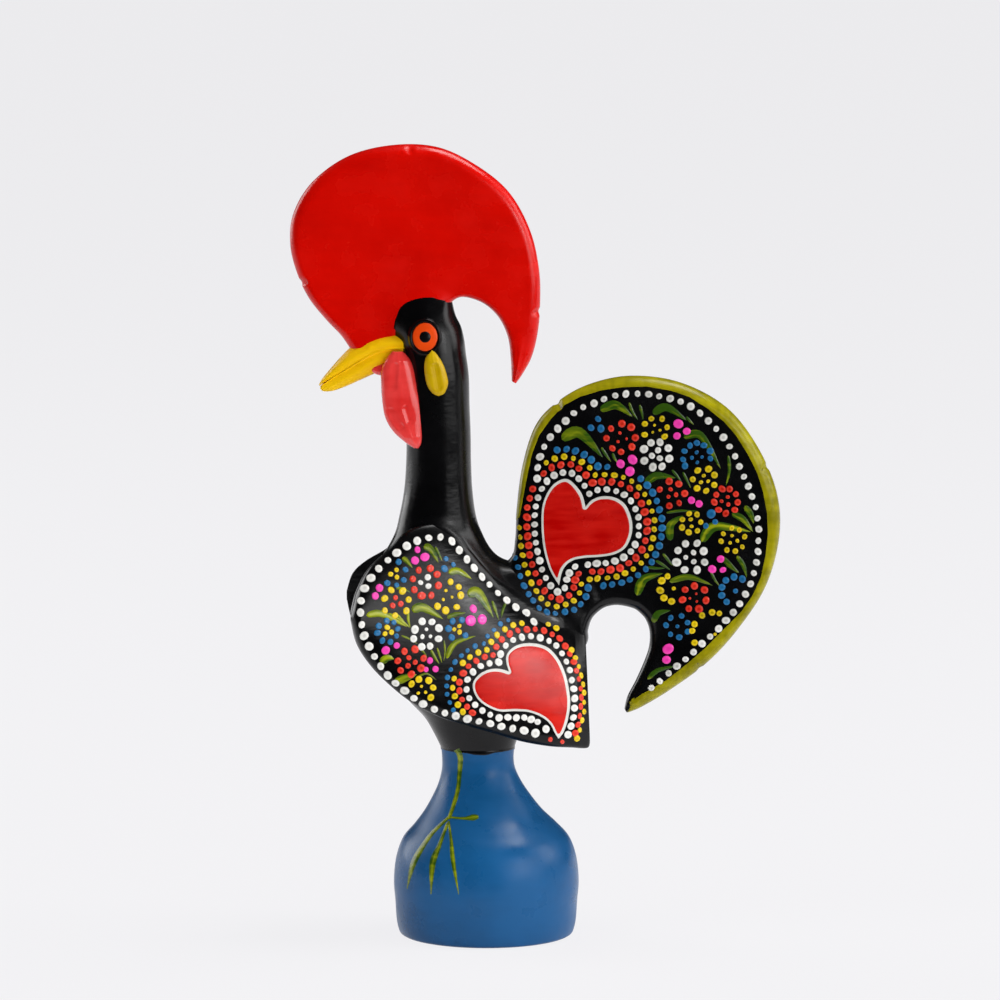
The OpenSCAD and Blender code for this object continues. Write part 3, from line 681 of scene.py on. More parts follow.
# Noise cells a metre: clouds of tone, brush streaks, gloss, waves in the clay and brush marks
CLOUDS, STREAKS, GLOSS, WAVES, MARKS = 45, 160, 90, 70, 420
# How the streaks and the marks of the brush are drawn out along x, y and z
STREAK_WAY, MARK_WAY = (0.35, 1, 2.2), (0.3, 1, 1.6)
# Heights of the waves and of the brush marks, in metres
WAVE_H, MARK_H = 0.0006, 0.00012


def feed(tree, node, inputs):
    """Sets a node's inputs, each to a value or to the socket that feeds it."""
    for key, value in inputs.items():
        if isinstance(value, bpy.types.NodeSocket):
            tree.links.new(value, node.inputs[key])
        else:
            node.inputs[key].default_value = value


def add(tree, kind, inputs, **settings):
    """New shader node."""
    node = tree.nodes.new("ShaderNode" + kind)
    for key, value in settings.items():
        setattr(node, key, value)
    feed(tree, node, inputs)
    return node


def new_material(name):
    material = bpy.data.materials.new(name)
    material.use_nodes = True
    return material, material.node_tree


def enamel(name, slot, colour, deep, rough=0.2, streak=0.05, coat=0.0, shine=0.45, toned=False,
           brushed=0.25):
    """Brushed enamel paint and its slot: two shades in slow clouds or by tone, brush marks, uneven gloss."""
    material, tree = new_material(name)
    place = add(tree, "TexCoord", {}).outputs["Object"]

    def field(scale, detail, stretch=(1, 1, 1)):
        at = add(tree, "Mapping", {"Vector": place, "Scale": stretch}).outputs["Vector"]
        return add(tree, "TexNoise", {"Vector": at, "Scale": scale, "Detail": detail}).outputs["Fac"]

    def spread(value, to_low, to_high, low=0.3, high=0.7):
        ends = {"From Min": low, "From Max": high, "To Min": to_low, "To Max": to_high}
        return add(tree, "MapRange", {"Value": value, **ends}).outputs["Result"]

    if toned:
        ground = add(tree, "Attribute", {}, attribute_type="GEOMETRY", attribute_name=SHADE).outputs["Fac"]
    else:
        ground = spread(field(CLOUDS, 3), 0.0, 1.0, high=0.62)
    brush = spread(field(STREAKS, 4, STREAK_WAY), -streak * 4, streak * 4)
    tone = add(tree, "Math", {0: brush, 1: ground}, operation="ADD", use_clamp=True).outputs[0]
    mix = add(tree, "Mix", {"Factor": tone, "A": (*deep, 1), "B": (*colour, 1)}, data_type="RGBA")
    waves = add(tree, "Bump", {"Strength": 0.35, "Distance": WAVE_H, "Height": field(WAVES, 2)})
    marks = add(tree, "Bump", {"Strength": brushed, "Distance": MARK_H,
                               "Height": field(MARKS, 5, MARK_WAY), "Normal": waves.outputs["Normal"]})
    feed(tree, tree.nodes["Principled BSDF"], {
        "Base Color": mix.outputs["Result"],
        "Roughness": spread(field(GLOSS, 5), rough * 0.7, rough * 1.5),
        "Specular IOR Level": shine,
        "Coat Weight": coat,
        "Coat Roughness": 0.1,
        "Normal": marks.outputs["Normal"],
    })
    return material, slot


BLUE = enamel("blue enamel", "blue_enamel", (0.009, 0.090, 0.245), (0.006, 0.072, 0.200), rough=0.3,
              shine=0.22)
BLACK = enamel("black enamel", "black_enamel", (0.0030, 0.0030, 0.0034), (0.0014, 0.0014, 0.0017),
               rough=0.2, shine=0.3, brushed=0.5)
RED = enamel("red enamel", "red_enamel", (0.68, 0.003, 0.0005), (0.58, 0.0025, 0.0005), rough=0.24,
             shine=0.35)
# Red of the wattles, lighter and pinker than the red paint: the paint's red with painted sheen in it
WATTLE_RED_AND_SHEEN = enamel("wattle red and painted sheen", "red_enamel", (0.88, 0.060, 0.056), (0.68, 0.016, 0.014), rough=0.17,
                    coat=0.4, shine=0.5)
YELLOW = enamel("yellow enamel", "yellow_enamel", (0.98, 0.60, 0.005), (0.86, 0.48, 0.003), rough=0.3,
                shine=0.18)
ORANGE = enamel("orange enamel", "orange_enamel", (0.80, 0.070, 0.005), (0.58, 0.036, 0.003), rough=0.25,
                shine=0.3)
LOBE_YELLOW = enamel("lobe yellow", "yellow_enamel", (0.62, 0.41, 0.003), (0.50, 0.31, 0.002), rough=0.3,
                     shine=0.25)
# Paints of the pattern, whose tone changes from point to point: name, slot, full and deep colour, and
# then roughness, streaks, coat and shine where they differ. Their span is wide partly for painted light
# and shade: the wings' paint sits near the full colour as painted light, the tail's near the deep one as
# painted shade.
TONED = {
    "white": ("white paint", "white_paint", (0.84, 0.83, 0.79), (0.34, 0.34, 0.31)),
    "red": ("red paint", "red_enamel", (0.82, 0.050, 0.026), (0.30, 0.005, 0.001)),
    "yellow": ("yellow paint", "yellow_enamel", (0.82, 0.58, 0.008), (0.26, 0.20, 0.002)),
    "blue": ("light blue paint", "light_blue_paint", (0.016, 0.155, 0.36), (0.007, 0.075, 0.19)),
    "pink": ("pink paint", "pink_paint", (0.90, 0.06, 0.45), (0.66, 0.035, 0.30)),
    "green": ("green paint", "green_paint", (0.34, 0.38, 0.008), (0.026, 0.072, 0.004), 0.2, 0.1),
    "heart": ("heart red", "red_enamel", (0.70, 0.020, 0.012), (0.40, 0.001, 0.0005), 0.22, 0.07),
    "heart_line": ("heart line white", "white_paint", (0.74, 0.73, 0.69), (0.46, 0.46, 0.42)),
    "rim": ("rim green", "green_paint", (0.36, 0.32, 0.005), (0.19, 0.17, 0.003), 0.2, 0.08, 0.0, 0.2),
}
PAINTS = {key: enamel(*row, toned=True) for key, row in TONED.items()}
PAINTS["black"] = BLACK


# Main pieces

def build_pedestal():
    """Bell, hollow and open underneath, with a bore in its mouth for the body's collar."""
    fine = smooth_rows(PEDESTAL_ROWS, TRUNK_STEPS)
    collar_r = MOUTH_R - MOUTH_WALL
    bore_z = COLLAR_Z - BORE_STEP
    outer = [round_ring(x, z, r) for z, x, r in fine]
    inner = [round_ring(x, z, max(r - PEDESTAL_WALL, collar_r)) for z, x, r in fine
             if FOOT_EDGE <= z < bore_z - BORE_STEP]
    foot = round_ring(0, 0, FOOT_R - PEDESTAL_WALL)
    bore = [round_ring(-LEAN, z, collar_r) for z in (MOUTH_Z, bore_z)]
    rings = outer + bore + inner[::-1] + [foot]
    made = skin(rings, closed=True)
    cover("pedestal", made, BLUE)
    return made


def trunk_part(first, last):
    """Rings of the trunk from one of its rows to another."""
    rows = smooth_rows(TRUNK_ROWS, TRUNK_STEPS)[first * TRUNK_STEPS:last * TRUNK_STEPS + 1]
    return [trunk_ring(r) for r in rows]


def build_trunk():
    """Body with its collar, neck and head: one smooth skin, cut into three pieces."""
    collar_r = MOUTH_R - MOUTH_WALL - SLIP
    inside_r = collar_r - COLLAR_WALL
    collar = [round_ring(-LEAN, z, r) for z, r in ((MOUTH_Z + COLLAR_DEPTH, inside_r), (COLLAR_Z, inside_r),
                                                   (COLLAR_Z, collar_r), (MOUTH_Z, collar_r))]
    trunk = skin(trunk_part(0, len(TRUNK_ROWS) - 1))
    trunk = blended(trunk, [sight(wing) for wing in WINGS.values()], WING_REACH_ON)
    trunk = blended(trunk, [sight(TAIL)], JOINT_REACH)
    trunk = blended(trunk, [sight(CREST)], CREST_REACH)
    points = trunk[0]
    rings = [points[i:i + RING_POINTS] for i in range(0, len(points), RING_POINTS)]
    low, high = BODY_END * TRUNK_STEPS, NECK_END * TRUNK_STEPS
    cover("body", skin(collar + rings[:low + 1]), BLACK)
    cover("neck", skin(rings[low:high + 1]), BLACK)
    rims = [eye_rim(side) for side in SIDES.values()]
    cover("head", joined(skin(rings[high:]), *rims), BLACK)
    return trunk


def nicked(made, nicks):
    """Small chips in an edge: points near each place move towards the slab's middle."""
    points, faces = made
    middle = np.mean(points, axis=0)
    out = []
    for p in points:
        for x, z in nicks:
            away = hypot(p[0] - x, p[2] - z)
            if away < NICK_REACH:
                way = np.array([middle[0] - x, 0, middle[2] - z])
                p = p + way / norm(way) * NICK_DEPTH * (1 - away / NICK_REACH)
        out.append(p)
    return out, faces


def grooved(made, lines, depth, reach):
    """Shallow hollows pressed into both sides of a piece along lines given as x, z."""
    points, faces = made
    points = np.array(points)
    for line in lines:
        line = np.array(line)
        away = clearance(points[:, [0, 2]], np.vstack([line, line[::-1]]))
        pressed = depth * np.clip(1 - (away / reach)**2, 0, 1)
        ways = ways_out(points, faces)
        points = points - ways * (pressed * ways[:, 1]**2)[:, None]
    return list(points), faces


def build_crest():
    head = sight(skin(trunk_part(NECK_END, len(TRUNK_ROWS) - 1)))
    made = nicked(blended(CREST, [head], CREST_REACH), CREST_NICKS)
    cover("crest", made, RED)
    return sight(made)


def build_tail():
    body = sight(skin(trunk_part(0, BODY_END)))
    made = nicked(blended(TAIL, [body], JOINT_REACH), TAIL_NICKS)
    cover("tail", made, BLACK)
    return sight(joined(made, TRUNK))


def seat_y(x, z):
    """How far out the flat lies on which a wing is seated."""
    return WING_SEAT - WING_YAW * x - WING_LEAN * z


def side_rows(side):
    """Rows of the left wing, or of the right one, whose breast end hangs lower."""
    rows = np.array(WING_ROWS, float)
    if side > 0:
        rows[:, [0, 2]] -= WING_REACH * rows[:, 4:5]
        rows[:, 3] -= WING_SAG * rows[:, 5]
    return rows


def wing_ring(row, side):
    """Ring of a domed wing plate: full rim below, running out gently above where the row says so."""
    p, q = row[:2], row[2:4]
    width = norm(q - p)
    way = (q - p) / width
    e = min(WING_RIM, width * 0.4)
    above = WING_FADE + (WING_RIM - WING_FADE) * row[4]
    ends = min(1, 0.4 + width / 40, 0.45 + (40 - row[0]) / 8)
    run = min(e + (WING_RUN_OUT - e) * (1 - row[4]), width * 0.45)
    quarter = np.linspace(0, pi / 2, 9)
    across = [(e * (1 - cos(a)), WING_EDGE + (1 - WING_EDGE) * sin(a)) for a in quarter]
    across += [(e + (width - e - run) * u, 1) for u in np.linspace(0, 1, 24)[1:-1]]
    low = WING_EDGE * row[4]
    across += [(width - run * (1 - cos(a)), low + (1 - low) * sin(a)) for a in reversed(quarter)]
    outside, inside = [], []
    for s, share in across:
        at, u = p + way * s, s / width
        base = seat_y(at[0], at[1]) + SLIP
        rim = WING_RIM + (above - WING_RIM) * u
        y = base + ends * (rim * share + WING_DOME * sin(pi * u))
        outside.append(np.array([at[0], side * y, at[1]]))
        inside.append(np.array([at[0], side * base, at[1]]))
    return outside + inside[::-1]


def build_wings():
    for name in SIDES:
        cover(f"wing_{name}", WINGS[name], BLACK)
    return {name: sight(joined(WINGS[name], TRUNK)) for name in SIDES}


def beak_rings(rows):
    """Rings of one half of the beak, flat at the mouth and round over the ridge or the chin."""
    rings = []
    under = sin(radians(15))
    for r in smooth_rows(rows, 8):
        q, m = r[:2], r[2:4]
        height = norm(q - m)
        way, w = (q - m) / height, BEAK_W * r[4]
        ring = []
        for a in np.radians(np.arange(-15, 196, 5)):
            lift = (sin(a) + under) / (1 + under)
            at = m + way * (SLIP / 2 + (height - SLIP / 2) * lift)
            ring.append(np.array([at[0], -w * cos(a), at[1]]))
        rings.append(ring)
    return rings


def build_beak():
    for name, rows in (("upper", BEAK_UPPER_ROWS), ("lower", BEAK_LOWER_ROWS)):
        made = shifted(skin(beak_rings(rows)), HEAD_AT)
        mouth = [(r[2] + HEAD_AT[0], r[3] + HEAD_AT[2]) for r in rows]
        made = grooved(grooved(made, [mouth], *MOUTH_GROOVE), [NOSTRIL], *NOSTRIL_GROOVE)
        cover(f"beak_{name}", made, YELLOW)


def ellipsoid(middle, half, around=32, up=16):
    """Egg round a middle, with half its length along each way."""
    rings = []
    for k in range(1, up):
        b = pi * k / up - pi / 2
        rings.append([middle + half * [cos(b) * cos(a), cos(b) * sin(a), sin(b)]
                      for a in turns(around)])
    return skin(rings)


def build_wattles():
    for name, side in SIDES.items():
        pad = skin(slab_rings(WATTLE_ROWS, WATTLE_T, WATTLE_T, WATTLE_EDGE, across=8))
        pad = shifted(pad, [0, side * WATTLE_Y, 0])
        chin = ellipsoid(CHIN * [1, side, 1], CHIN_R)
        made = grooved(shifted(joined(pad, chin), HEAD_AT), WATTLE_FOLDS, *WATTLE_GROOVE)
        cover(f"wattle_{name}", made, WATTLE_RED_AND_SHEEN)


def build_lobes():
    for name, side in SIDES.items():
        pad = skin(slab_rings(LOBE_ROWS, LOBE_T, LOBE_T, LOBE_EDGE, across=8))
        pad = shifted(pad, HEAD_AT + [0, side * LOBE_Y, 0])
        cover(f"ear_lobe_{name}", grooved(pad, [LOBE_FOLD], *LOBE_GROOVE), LOBE_YELLOW)


def on_eye(side, points):
    """Points on the side of the head: (along x, up, out) from the eye's seat."""
    out_way = np.array([0, side * cos(EYE_TILT), sin(EYE_TILT)])
    up_way = np.array([0, -side * sin(EYE_TILT), cos(EYE_TILT)])
    middle = HEAD_AT + [EYE_X, side * EYE_Y, EYE_Z]
    return [middle + [x, 0, 0] + up_way * z + out_way * y for x, z, y in points]


def oval_rings(side, profile, share=EYE_W / EYE_H, around=64):
    """Rings of an upright oval: radius of its height and way out for each ring."""
    return [on_eye(side, [(r * share * cos(a), r * sin(a), out)
                          for a in np.linspace(0, 2 * pi, around, endpoint=False)])
            for r, out in profile]


def eye_rim(side):
    """Raised bead of clay round the eye, part of the head."""
    inner, width, height = EYE_H / 2 + SLIP, 1.25, 0.9
    bead = [(inner, -1.0), (inner, height * 0.4)]
    bead += [(inner + width * (1 - cos(a)) / 2, height * (0.4 + 0.6 * sin(a)))
             for a in np.linspace(0.25, pi, 10)]
    bead += [(inner + width + 0.5, -1.0)]
    return skin(oval_rings(side, bead), closed=True)


def build_eyes():
    for name, side in SIDES.items():
        r, top = EYE_H / 2, EYE_T - EYE_SEAT
        disc = [(r, SLIP - EYE_SEAT), (r, top - 0.5)]
        disc += [(r - 0.6 * (1 - cos(a)), top - 0.5 + 0.5 * sin(a))
                 for a in np.linspace(0.3, 1.57, 5)]
        disc += [(r * f, top + 0.25 * (1 - f * f)) for f in (0.8, 0.65, 0.5, 0.35)]
        cover(f"eye_{name}", skin(oval_rings(side, disc)), ORANGE)
        dome = [(PUPIL_R, -0.1), (PUPIL_R, top)]
        dome += [(PUPIL_R * cos(a), top + 0.15 + 0.5 * sin(a)) for a in np.linspace(0.2, 1.4, 6)]
        cover(f"pupil_{name}", skin(oval_rings(side, dome, share=1)), BLACK)


# Paint laid on the pieces

def sight(made):
    """A skin as a surface that a side view can be laid on."""
    points, faces = made
    return BVHTree.FromPolygons([Vector(p) for p in points], turned_out(faces, points))


def touch(surface, side, x, z):
    """Point and outward direction where a surface is first met from its side."""
    hit, way, _, _ = surface.ray_cast(Vector((x, side * 200, z)), Vector((0, -side, 0)))
    if hit is None:
        return None
    way = np.array(way)
    return np.array(hit), way if way[1] * side > 0 else -way


def lay(coat, paint, made, shades):
    """Adds a dab, stroke or patch to the paint of its colour."""
    points, faces, tones = coat.setdefault(paint, ([], [], []))
    faces += [tuple(i + len(points) for i in face) for face in made[1]]
    points += list(made[0])
    tones += shades


# Wobble of a row's dots: their places, and their size from and to
JITTER = 0.15
SIZES = (0.84, 1.14)
# Rings of a dab of thick paint: share of its radius, height and tone
DAB = [(1, -0.4, 0.5), (1.02, 0.05, 0.55), (0.86, 0.2, 0.95), (0.58, 0.27, 1), (0.25, 0.2, 0.6)]
DAB_POINTS = 14
# How far two dots may run into each other
SLACK = 0.2
# Where the rows of dots begin to draw in along the wing's rear edge, and over how much
REAR_X, REAR_RUN = 27, 3
# A dab is left out where the surface faces its side less than this
STEEP = 0.3
# Spacing of the points in a patch of paint, and the number of them across a stroke
PATCH_GRID = 1.3
STROKE_POINTS = 7
# How far over the surface the paint's edge stands, and how far a patch reaches into its ground
PAINT_GAP = 0.02
PAINT_DEPTH = 0.3
# Where along a leaf it is broadest, and how much broader it comes out than the picked width
LEAF_PEAK = 0.35
LEAF_W = 1.3


def dab(coat, paint, surface, side, x, z, r):
    """Raised round dab with a shallow dimple, a little out of round."""
    stretch, turn, tone = draw.uniform(0.92, 1.1), draw.uniform(0, pi), draw.uniform(-0.16, 0.12)
    found = touch(surface, side, x, z)
    if found is None or abs(found[1][1]) < STEEP:
        return
    at, up = found
    across = np.cross(up, [0, 0, 1])
    across /= norm(across)
    along = np.cross(across, up)
    rings, shades = [], []
    for share, height, ring_tone in DAB:
        ring = []
        for a in turns(DAB_POINTS):
            u, v = r * share * stretch * cos(a), r * share / stretch * sin(a)
            u, v = u * cos(turn) - v * sin(turn), u * sin(turn) + v * cos(turn)
            ring.append(at + across * u + along * v + up * height * min(1.2, r))
            shades.append(ring_tone + tone)
        rings.append(ring)
    lay(coat, paint, skin(rings), shades)


def stroke(coat, paint, surface, side, line, widths, light, height=0.14):
    """Brush stroke along a line, domed across and streaked along."""
    line, widths = np.array(line), np.array(widths)
    ways = np.gradient(line, axis=0)
    ways /= norm(ways, axis=1)[:, None]
    rings, shades = [], []
    streak = draw.uniform(-0.35, 0.35)
    last = None
    for t, (at, way, width) in enumerate(zip(line, ways, widths)):
        top, under = [], []
        for v in np.linspace(-1, 1, STROKE_POINTS):
            place = at + np.array([-way[1], way[0]]) * v * max(width, 0.08) / 2
            last = touch(surface, side, *place) or last
            if last is None:
                return
            spot, up = last
            top.append(spot + up * (PAINT_GAP + height * (1 - v * v) * min(1, width)))
            under.append(spot - up * 0.25)
            bright = 0.25 + 1.1 * exp(-((v - streak) / 0.4)**2)
            shades.append(light * bright + 0.12 * sin(9 * v + t))
        rings.append(top + under[::-1])
        shades += [light * 0.4] * STROKE_POINTS
    lay(coat, paint, skin(rings), shades)


def leaf(coat, surface, side, row, move):
    """Leaf of one press of the brush: broad and round at one end, drawn out to a point."""
    places = move([(row[0], row[1]), (row[2], row[3]), (row[4], row[5])])
    line = smooth_rows(places, 8)
    widths = []
    for t in np.linspace(0, 1, len(line)):
        if t < LEAF_PEAK:
            share = sqrt(max(0, 1 - (1 - t / LEAF_PEAK)**2))
        else:
            share = 1 - ((t - LEAF_PEAK) / (1 - LEAF_PEAK))**1.8
        widths.append(LEAF_W * row[6] * share)
    stroke(coat, "green", surface, side, line, widths, row[7])


def clearance(places, loop):
    """Distance of each place from the nearest segment of a closed line."""
    a, along = loop[None], (np.roll(loop, -1, axis=0) - loop)[None]
    off = np.array(places)[:, None] - a
    t = np.clip((off * along).sum(2) / np.maximum((along**2).sum(2), 1e-9), 0, 1)
    return norm(off - along * t[..., None], axis=2).min(axis=1)


def around(loop, distance):
    """Line round a closed outline at a distance outside it, rounded at its corners."""
    turn = np.sum(loop[:, 0] * np.roll(loop[:, 1], -1) - np.roll(loop[:, 0], -1) * loop[:, 1])
    ways = np.roll(loop, -1, axis=0) - loop
    ways /= norm(ways, axis=1)[:, None]
    outs = np.stack([ways[:, 1], -ways[:, 0]], axis=1) * copysign(1, turn * distance)
    places = []
    for i, p in enumerate(loop):
        for share in np.linspace(0, 1, 6):
            out = outs[i - 1] * (1 - share) + outs[i] * share
            places.append(p + out / max(norm(out), 1e-6) * abs(distance))
    places = np.array(places)
    return places[clearance(places, loop) > abs(distance) - 0.05]


def spaced(line, gap):
    """Places along a line, about a gap apart."""
    steps = norm(np.diff(line, axis=0), axis=1)
    far = np.concatenate([[0], np.cumsum(steps)])
    count = max(1, round(far[-1] / gap))
    marks = np.linspace(0, far[-1], count, endpoint=False)
    return np.stack([np.interp(marks, far, line[:, k]) for k in (0, 1)], axis=1)


def heart_loop(halves):
    """Closed outline of a heart, smooth but for its notch and its tip."""
    return np.vstack([smooth_rows(half, 5)[:-1] for half in halves])


def patch(coat, paint, surface, side, loop, height, edge, tone=0.75):
    """Layer of paint over an outline, with rounded edges, closed underneath."""
    low, high = loop.min(axis=0), loop.max(axis=0)
    across, up = (np.arange(low[k], high[k], PATCH_GRID) for k in (0, 1))
    inner = np.array([(x, z) for x in across for z in up])
    rim = np.vstack([around(loop, -edge * share) for share in (0.3, 0.65, 1)])
    inner = inner[clearance(inner, loop) > edge * 1.6]
    places = np.vstack([loop, rim, inner])
    sides = [(i, (i + 1) % len(loop)) for i in range(len(loop))]
    flat, _, faces, _, _, _ = delaunay_2d_cdt([Vector(p) for p in places], sides, [], 1, 1e-4)
    flat = np.array([list(p) for p in flat])
    inset = np.clip(clearance(flat, loop) / edge, 0, 1)
    top, under = [], []
    last = None
    for place, share in zip(flat, inset):
        last = touch(surface, side, *place) or last
        spot, up = last
        top.append(spot + up * (PAINT_GAP + height * sqrt(1 - (1 - share)**2)))
        under.append(spot - up * PAINT_DEPTH)
    count = len(flat)
    seen = {}
    for face in faces:
        for i, j in zip(face, face[1:] + face[:1]):
            seen.setdefault((min(i, j), max(i, j)), []).append((i, j))
    made = [tuple(face) for face in faces] + [tuple(i + count for i in reversed(face)) for face in faces]
    made += [(i, i + count, j + count, j) for uses in seen.values() if len(uses) == 1 for i, j in uses]
    shades = [tone + 0.3 * unevenness(np.append(p, 0), 7) for p in flat]
    lay(coat, paint, (top + under, made), shades * 2)


def is_free(taken, x, z, r, slack=SLACK):
    """Whether a dot lies clear of the others, but for a little slack."""
    return all(hypot(x - a, z - b) > r + c - slack for a, b, c in taken)


def near_rear(x):
    """How far a place is into the wing's rear edge, from 0 to 1."""
    return np.clip((x - REAR_X) / REAR_RUN, 0, 1)


def dots_along(coat, paint, surface, side, line, gap, r, taken, move, keep=None, squeeze=0.0):
    """Row of dabs along a line, leaving out those that would run into others."""
    for x, z in spaced(np.array(line), gap):
        size = r * draw.uniform(*SIZES)
        x, z = x + draw.uniform(-JITTER, JITTER), z + draw.uniform(-JITTER, JITTER)
        slack = SLACK + squeeze / 2 * near_rear(x)
        if is_free(taken, x, z, size, slack) and (keep is None or keep(paint, x, z)):
            taken.append((x, z, size))
            dab(coat, paint, surface, side, *move([(x, z)])[0], size)


def flower(coat, surface, side, row, taken, move):
    """Ring or arc of petals round a few dots."""
    paint, x, z, ring_r, count, first, span, r, inner_paint, inner, inner_r = row
    step = span / count if span == 360 else span / (count - 1)
    spots = [(paint, ring_r * draw.uniform(0.95, 1.05), first + step * k + draw.uniform(-5, 5), r)
             for k in range(count)]
    turn = draw.uniform(60, 120)
    inner_ring = 0 if inner == 1 else ring_r * 0.36
    spots += [(inner_paint, inner_ring, turn + 360 * k / inner, inner_r) for k in range(inner)]
    for colour, far, angle, size in spots:
        a = radians(angle)
        at = (x + far * cos(a), z + far * sin(a))
        size *= draw.uniform(0.88, 1.12)
        if is_free(taken, *at, size * 0.75):
            dab(coat, colour, surface, side, *move([at])[0], size)


def ornament(coat, surface, side, heart, rounds, border, border_r, flowers, dots, leaves, move, keep):
    """Heart with its rows of dots, the white border, and the flowers, leaves and dots between."""
    loop = heart_loop(heart)
    moved = np.array(move(loop))
    patch(coat, "heart_line", surface, side, moved, HEART_LINE_COAT, edge=0.3)
    inside = around(loop, -HEART_LINE) + HEART_SHIFT
    patch(coat, "heart", surface, side, np.array(move(inside)), HEART_COAT, edge=0.6, tone=0.5)
    for row in leaves:
        leaf(coat, surface, side, row, move)
    taken = [(x, z, 0.5) for x, z in spaced(loop, 1.0)] + [spot for spots in dots.values() for spot in spots]

    def ring(row):
        line = around(loop, row[1])
        line[:, 0] -= row[4] * near_rear(line[:, 0])
        line = np.vstack([line, line[:1]])
        dots_along(coat, row[0], surface, side, line, row[2], row[3], taken, move, keep, row[4])

    ring(rounds[0])
    dots_along(coat, "white", surface, side, smooth_rows(border, 4), *border_r, taken, move)
    for row in rounds[1:]:
        ring(row)
    for row in flowers:
        flower(coat, surface, side, row, taken, move)
    for paint, spots in dots.items():
        for x, z, r in spots:
            dab(coat, paint, surface, side, *move([(x, z)])[0], r)


def as_picked(places):
    """Leaves places where they are."""
    return places


def to_wing(side):
    """Moves places picked on the left wing to where they fall on the wing of a side."""
    rows = smooth_rows(WING_ROWS, SLAB_STEPS)
    x_at = (rows[:, 0] + rows[:, 2]) / 2

    def move(places):
        out = []
        for x, z in places:
            if side > 0:
                own = [np.interp(x - BODY_AT[0], x_at, rows[:, k]) for k in range(6)]
                height = (z - BODY_AT[2] - own[1]) / (own[3] - own[1])
                x, z = x - WING_REACH * own[4], z - WING_SAG * own[5] * min(1, max(0, height))
            out.append((x, z))
        return out

    return move


def painted(name, coat, lift=0.0):
    """Pieces of the paints of one place, all made a little lighter or deeper: painted light on the wings,
    painted shade on the tail.
    """
    for paint, (points, faces, tones) in coat.items():
        shades = [unit(tone + lift) for tone in tones]
        piece(f"{name}_{paint}", (points, faces), PAINTS[paint], shades=shades)


def crossing(p, q, line):
    """Distance from p to where the segment from p to q meets a line, or None."""
    far = norm(q - p)
    for a, b in zip(line[:-1], line[1:]):
        table = np.array([q - p, a - b]).T
        if abs(np.linalg.det(table)) > 1e-9:
            t, u = np.linalg.solve(table, a - p)
            if 0 < t < 1 and 0 <= u <= 1:
                return t * far
    return None


def build_rim():
    """Green paint wrapped round the tail's outer edge."""
    line = np.array(RIM_LINE) - BODY_AT[[0, 2]]
    rows = slab_rows(TAIL_ROWS)
    widths = [crossing(r[:2], r[2:4], line) for r in rows]
    kept = [i for i, width in enumerate(widths) if width]
    rings = []
    for i in range(kept[0], len(rows)):
        r, full = rows[i], widths[i] or norm(rows[i][2:4] - rows[i][:2])
        ramp = min(1, (i - kept[0]) / 6 + 0.1, (len(rows) - i) / 22)
        width = norm(r[2:4] - r[:2])
        full = min(full * ramp, width * 0.97)
        way = (r[2:4] - r[:2]) / width
        e = min(SLAB_EDGE, width * 0.4)
        half = half_thickness(width, TAIL_T, TAIL_ROOT_T, SLAB_EDGE, r[4])
        outer, under = [], []
        for s in full * (np.linspace(0, 1, 12) ** 1.5):
            lean = acos(max(-1, 1 - s / e)) if s < e else pi / 2
            flat = max(width - 2 * e, 1e-6)
            share = sin(lean) if s < e else 1 + CROWN * sin(pi * (s - e) / flat)
            y = (half[0] + (half[1] - half[0]) * s / width) * share
            coat = RIM_PAINT * min(1, (full - s) / 0.3 + 0.05)
            for points, off in ((outer, coat), (under, -PAINT_DEPTH)):
                at = r[:2] + way * (s - off * cos(lean))
                points.append(np.array([at[0], y + off * sin(lean), at[1]]))
        rings.append([p * MIRROR for p in reversed(outer)] + outer[1:]
                     + under[::-1] + [p * MIRROR for p in under[1:]])
    made = nicked(shifted(skin(rings), BODY_AT), TAIL_NICKS)
    shades = [0.45 + 0.5 * unevenness(p, 9) + 0.35 * unevenness(p * [3, 1, 1], 4) for p in made[0]]
    piece("tail_rim_paint", made, PAINTS["rim"], shades=[unit(t) for t in shades])


def build_ornaments():
    """Patterns of the tail, the same on both its faces, and of the wings."""
    tail = {}
    for side in SIDES.values():
        ornament(tail, TAIL_SIGHT, side, TAIL_HEART, TAIL_ROUNDS, TAIL_BORDER, TAIL_BORDER_DOTS,
                 TAIL_FLOWERS, TAIL_DOTS, TAIL_LEAVES, as_picked, tail_keep)
    painted("tail", tail, TAIL_PAINTED_SHADE)
    for name, side in SIDES.items():
        wing = {}
        ornament(wing, WING_SIGHTS[name], side, WING_HEART, WING_ROUNDS, WING_BORDER,
                 WING_BORDER_DOTS, WING_FLOWERS, WING_DOTS, WING_LEAVES, to_wing(side), wing_keep)
        painted(f"wing_{name}", wing, WING_PAINTED_LIGHT)


def tail_keep(paint, x, z):
    """Whether a row of dots round the tail's heart goes on there."""
    if z > 158:
        return x > {"white": 0, "red": 15, "yellow": 21, "blue": 24}[paint]
    return x > 19 or z < {"white": 200, "red": 162, "yellow": 146.5, "blue": 141.5}[paint]


def wing_keep(paint, x, z):
    """Whether a row of dots round the wing's heart goes on there."""
    if paint == "blue":
        return x < 8 and z > 80
    if paint == "white":
        return not (19 < x < 28 and z < 73)
    return z > 72.4 and not (-4.5 < x < (21 if paint == "red" else 27) and z < 82)


def build_feet():
    """Painted legs and toes, one on each side of the pedestal."""
    coat = {}
    for side in SIDES.values():
        for line, widths in FOOT_LINES:
            rows = smooth_rows([(*p, w) for p, w in zip(line, widths)], 8)
            stroke(coat, "green", FOOT_SIGHT, side, rows[:, :2], rows[:, 2], 0.45, height=0.1)
    painted("feet", coat)


def build_brow():
    """Black paint of the head that runs a little way onto the crest."""
    coat = {}
    for side in SIDES.values():
        loop = np.vstack([smooth_rows(BROW, 3), smooth_rows(BROW_UNDER, 2)])
        patch(coat, "black", CREST_SIGHT, side, loop, 0.05, edge=0.3)
    painted("brow", coat)


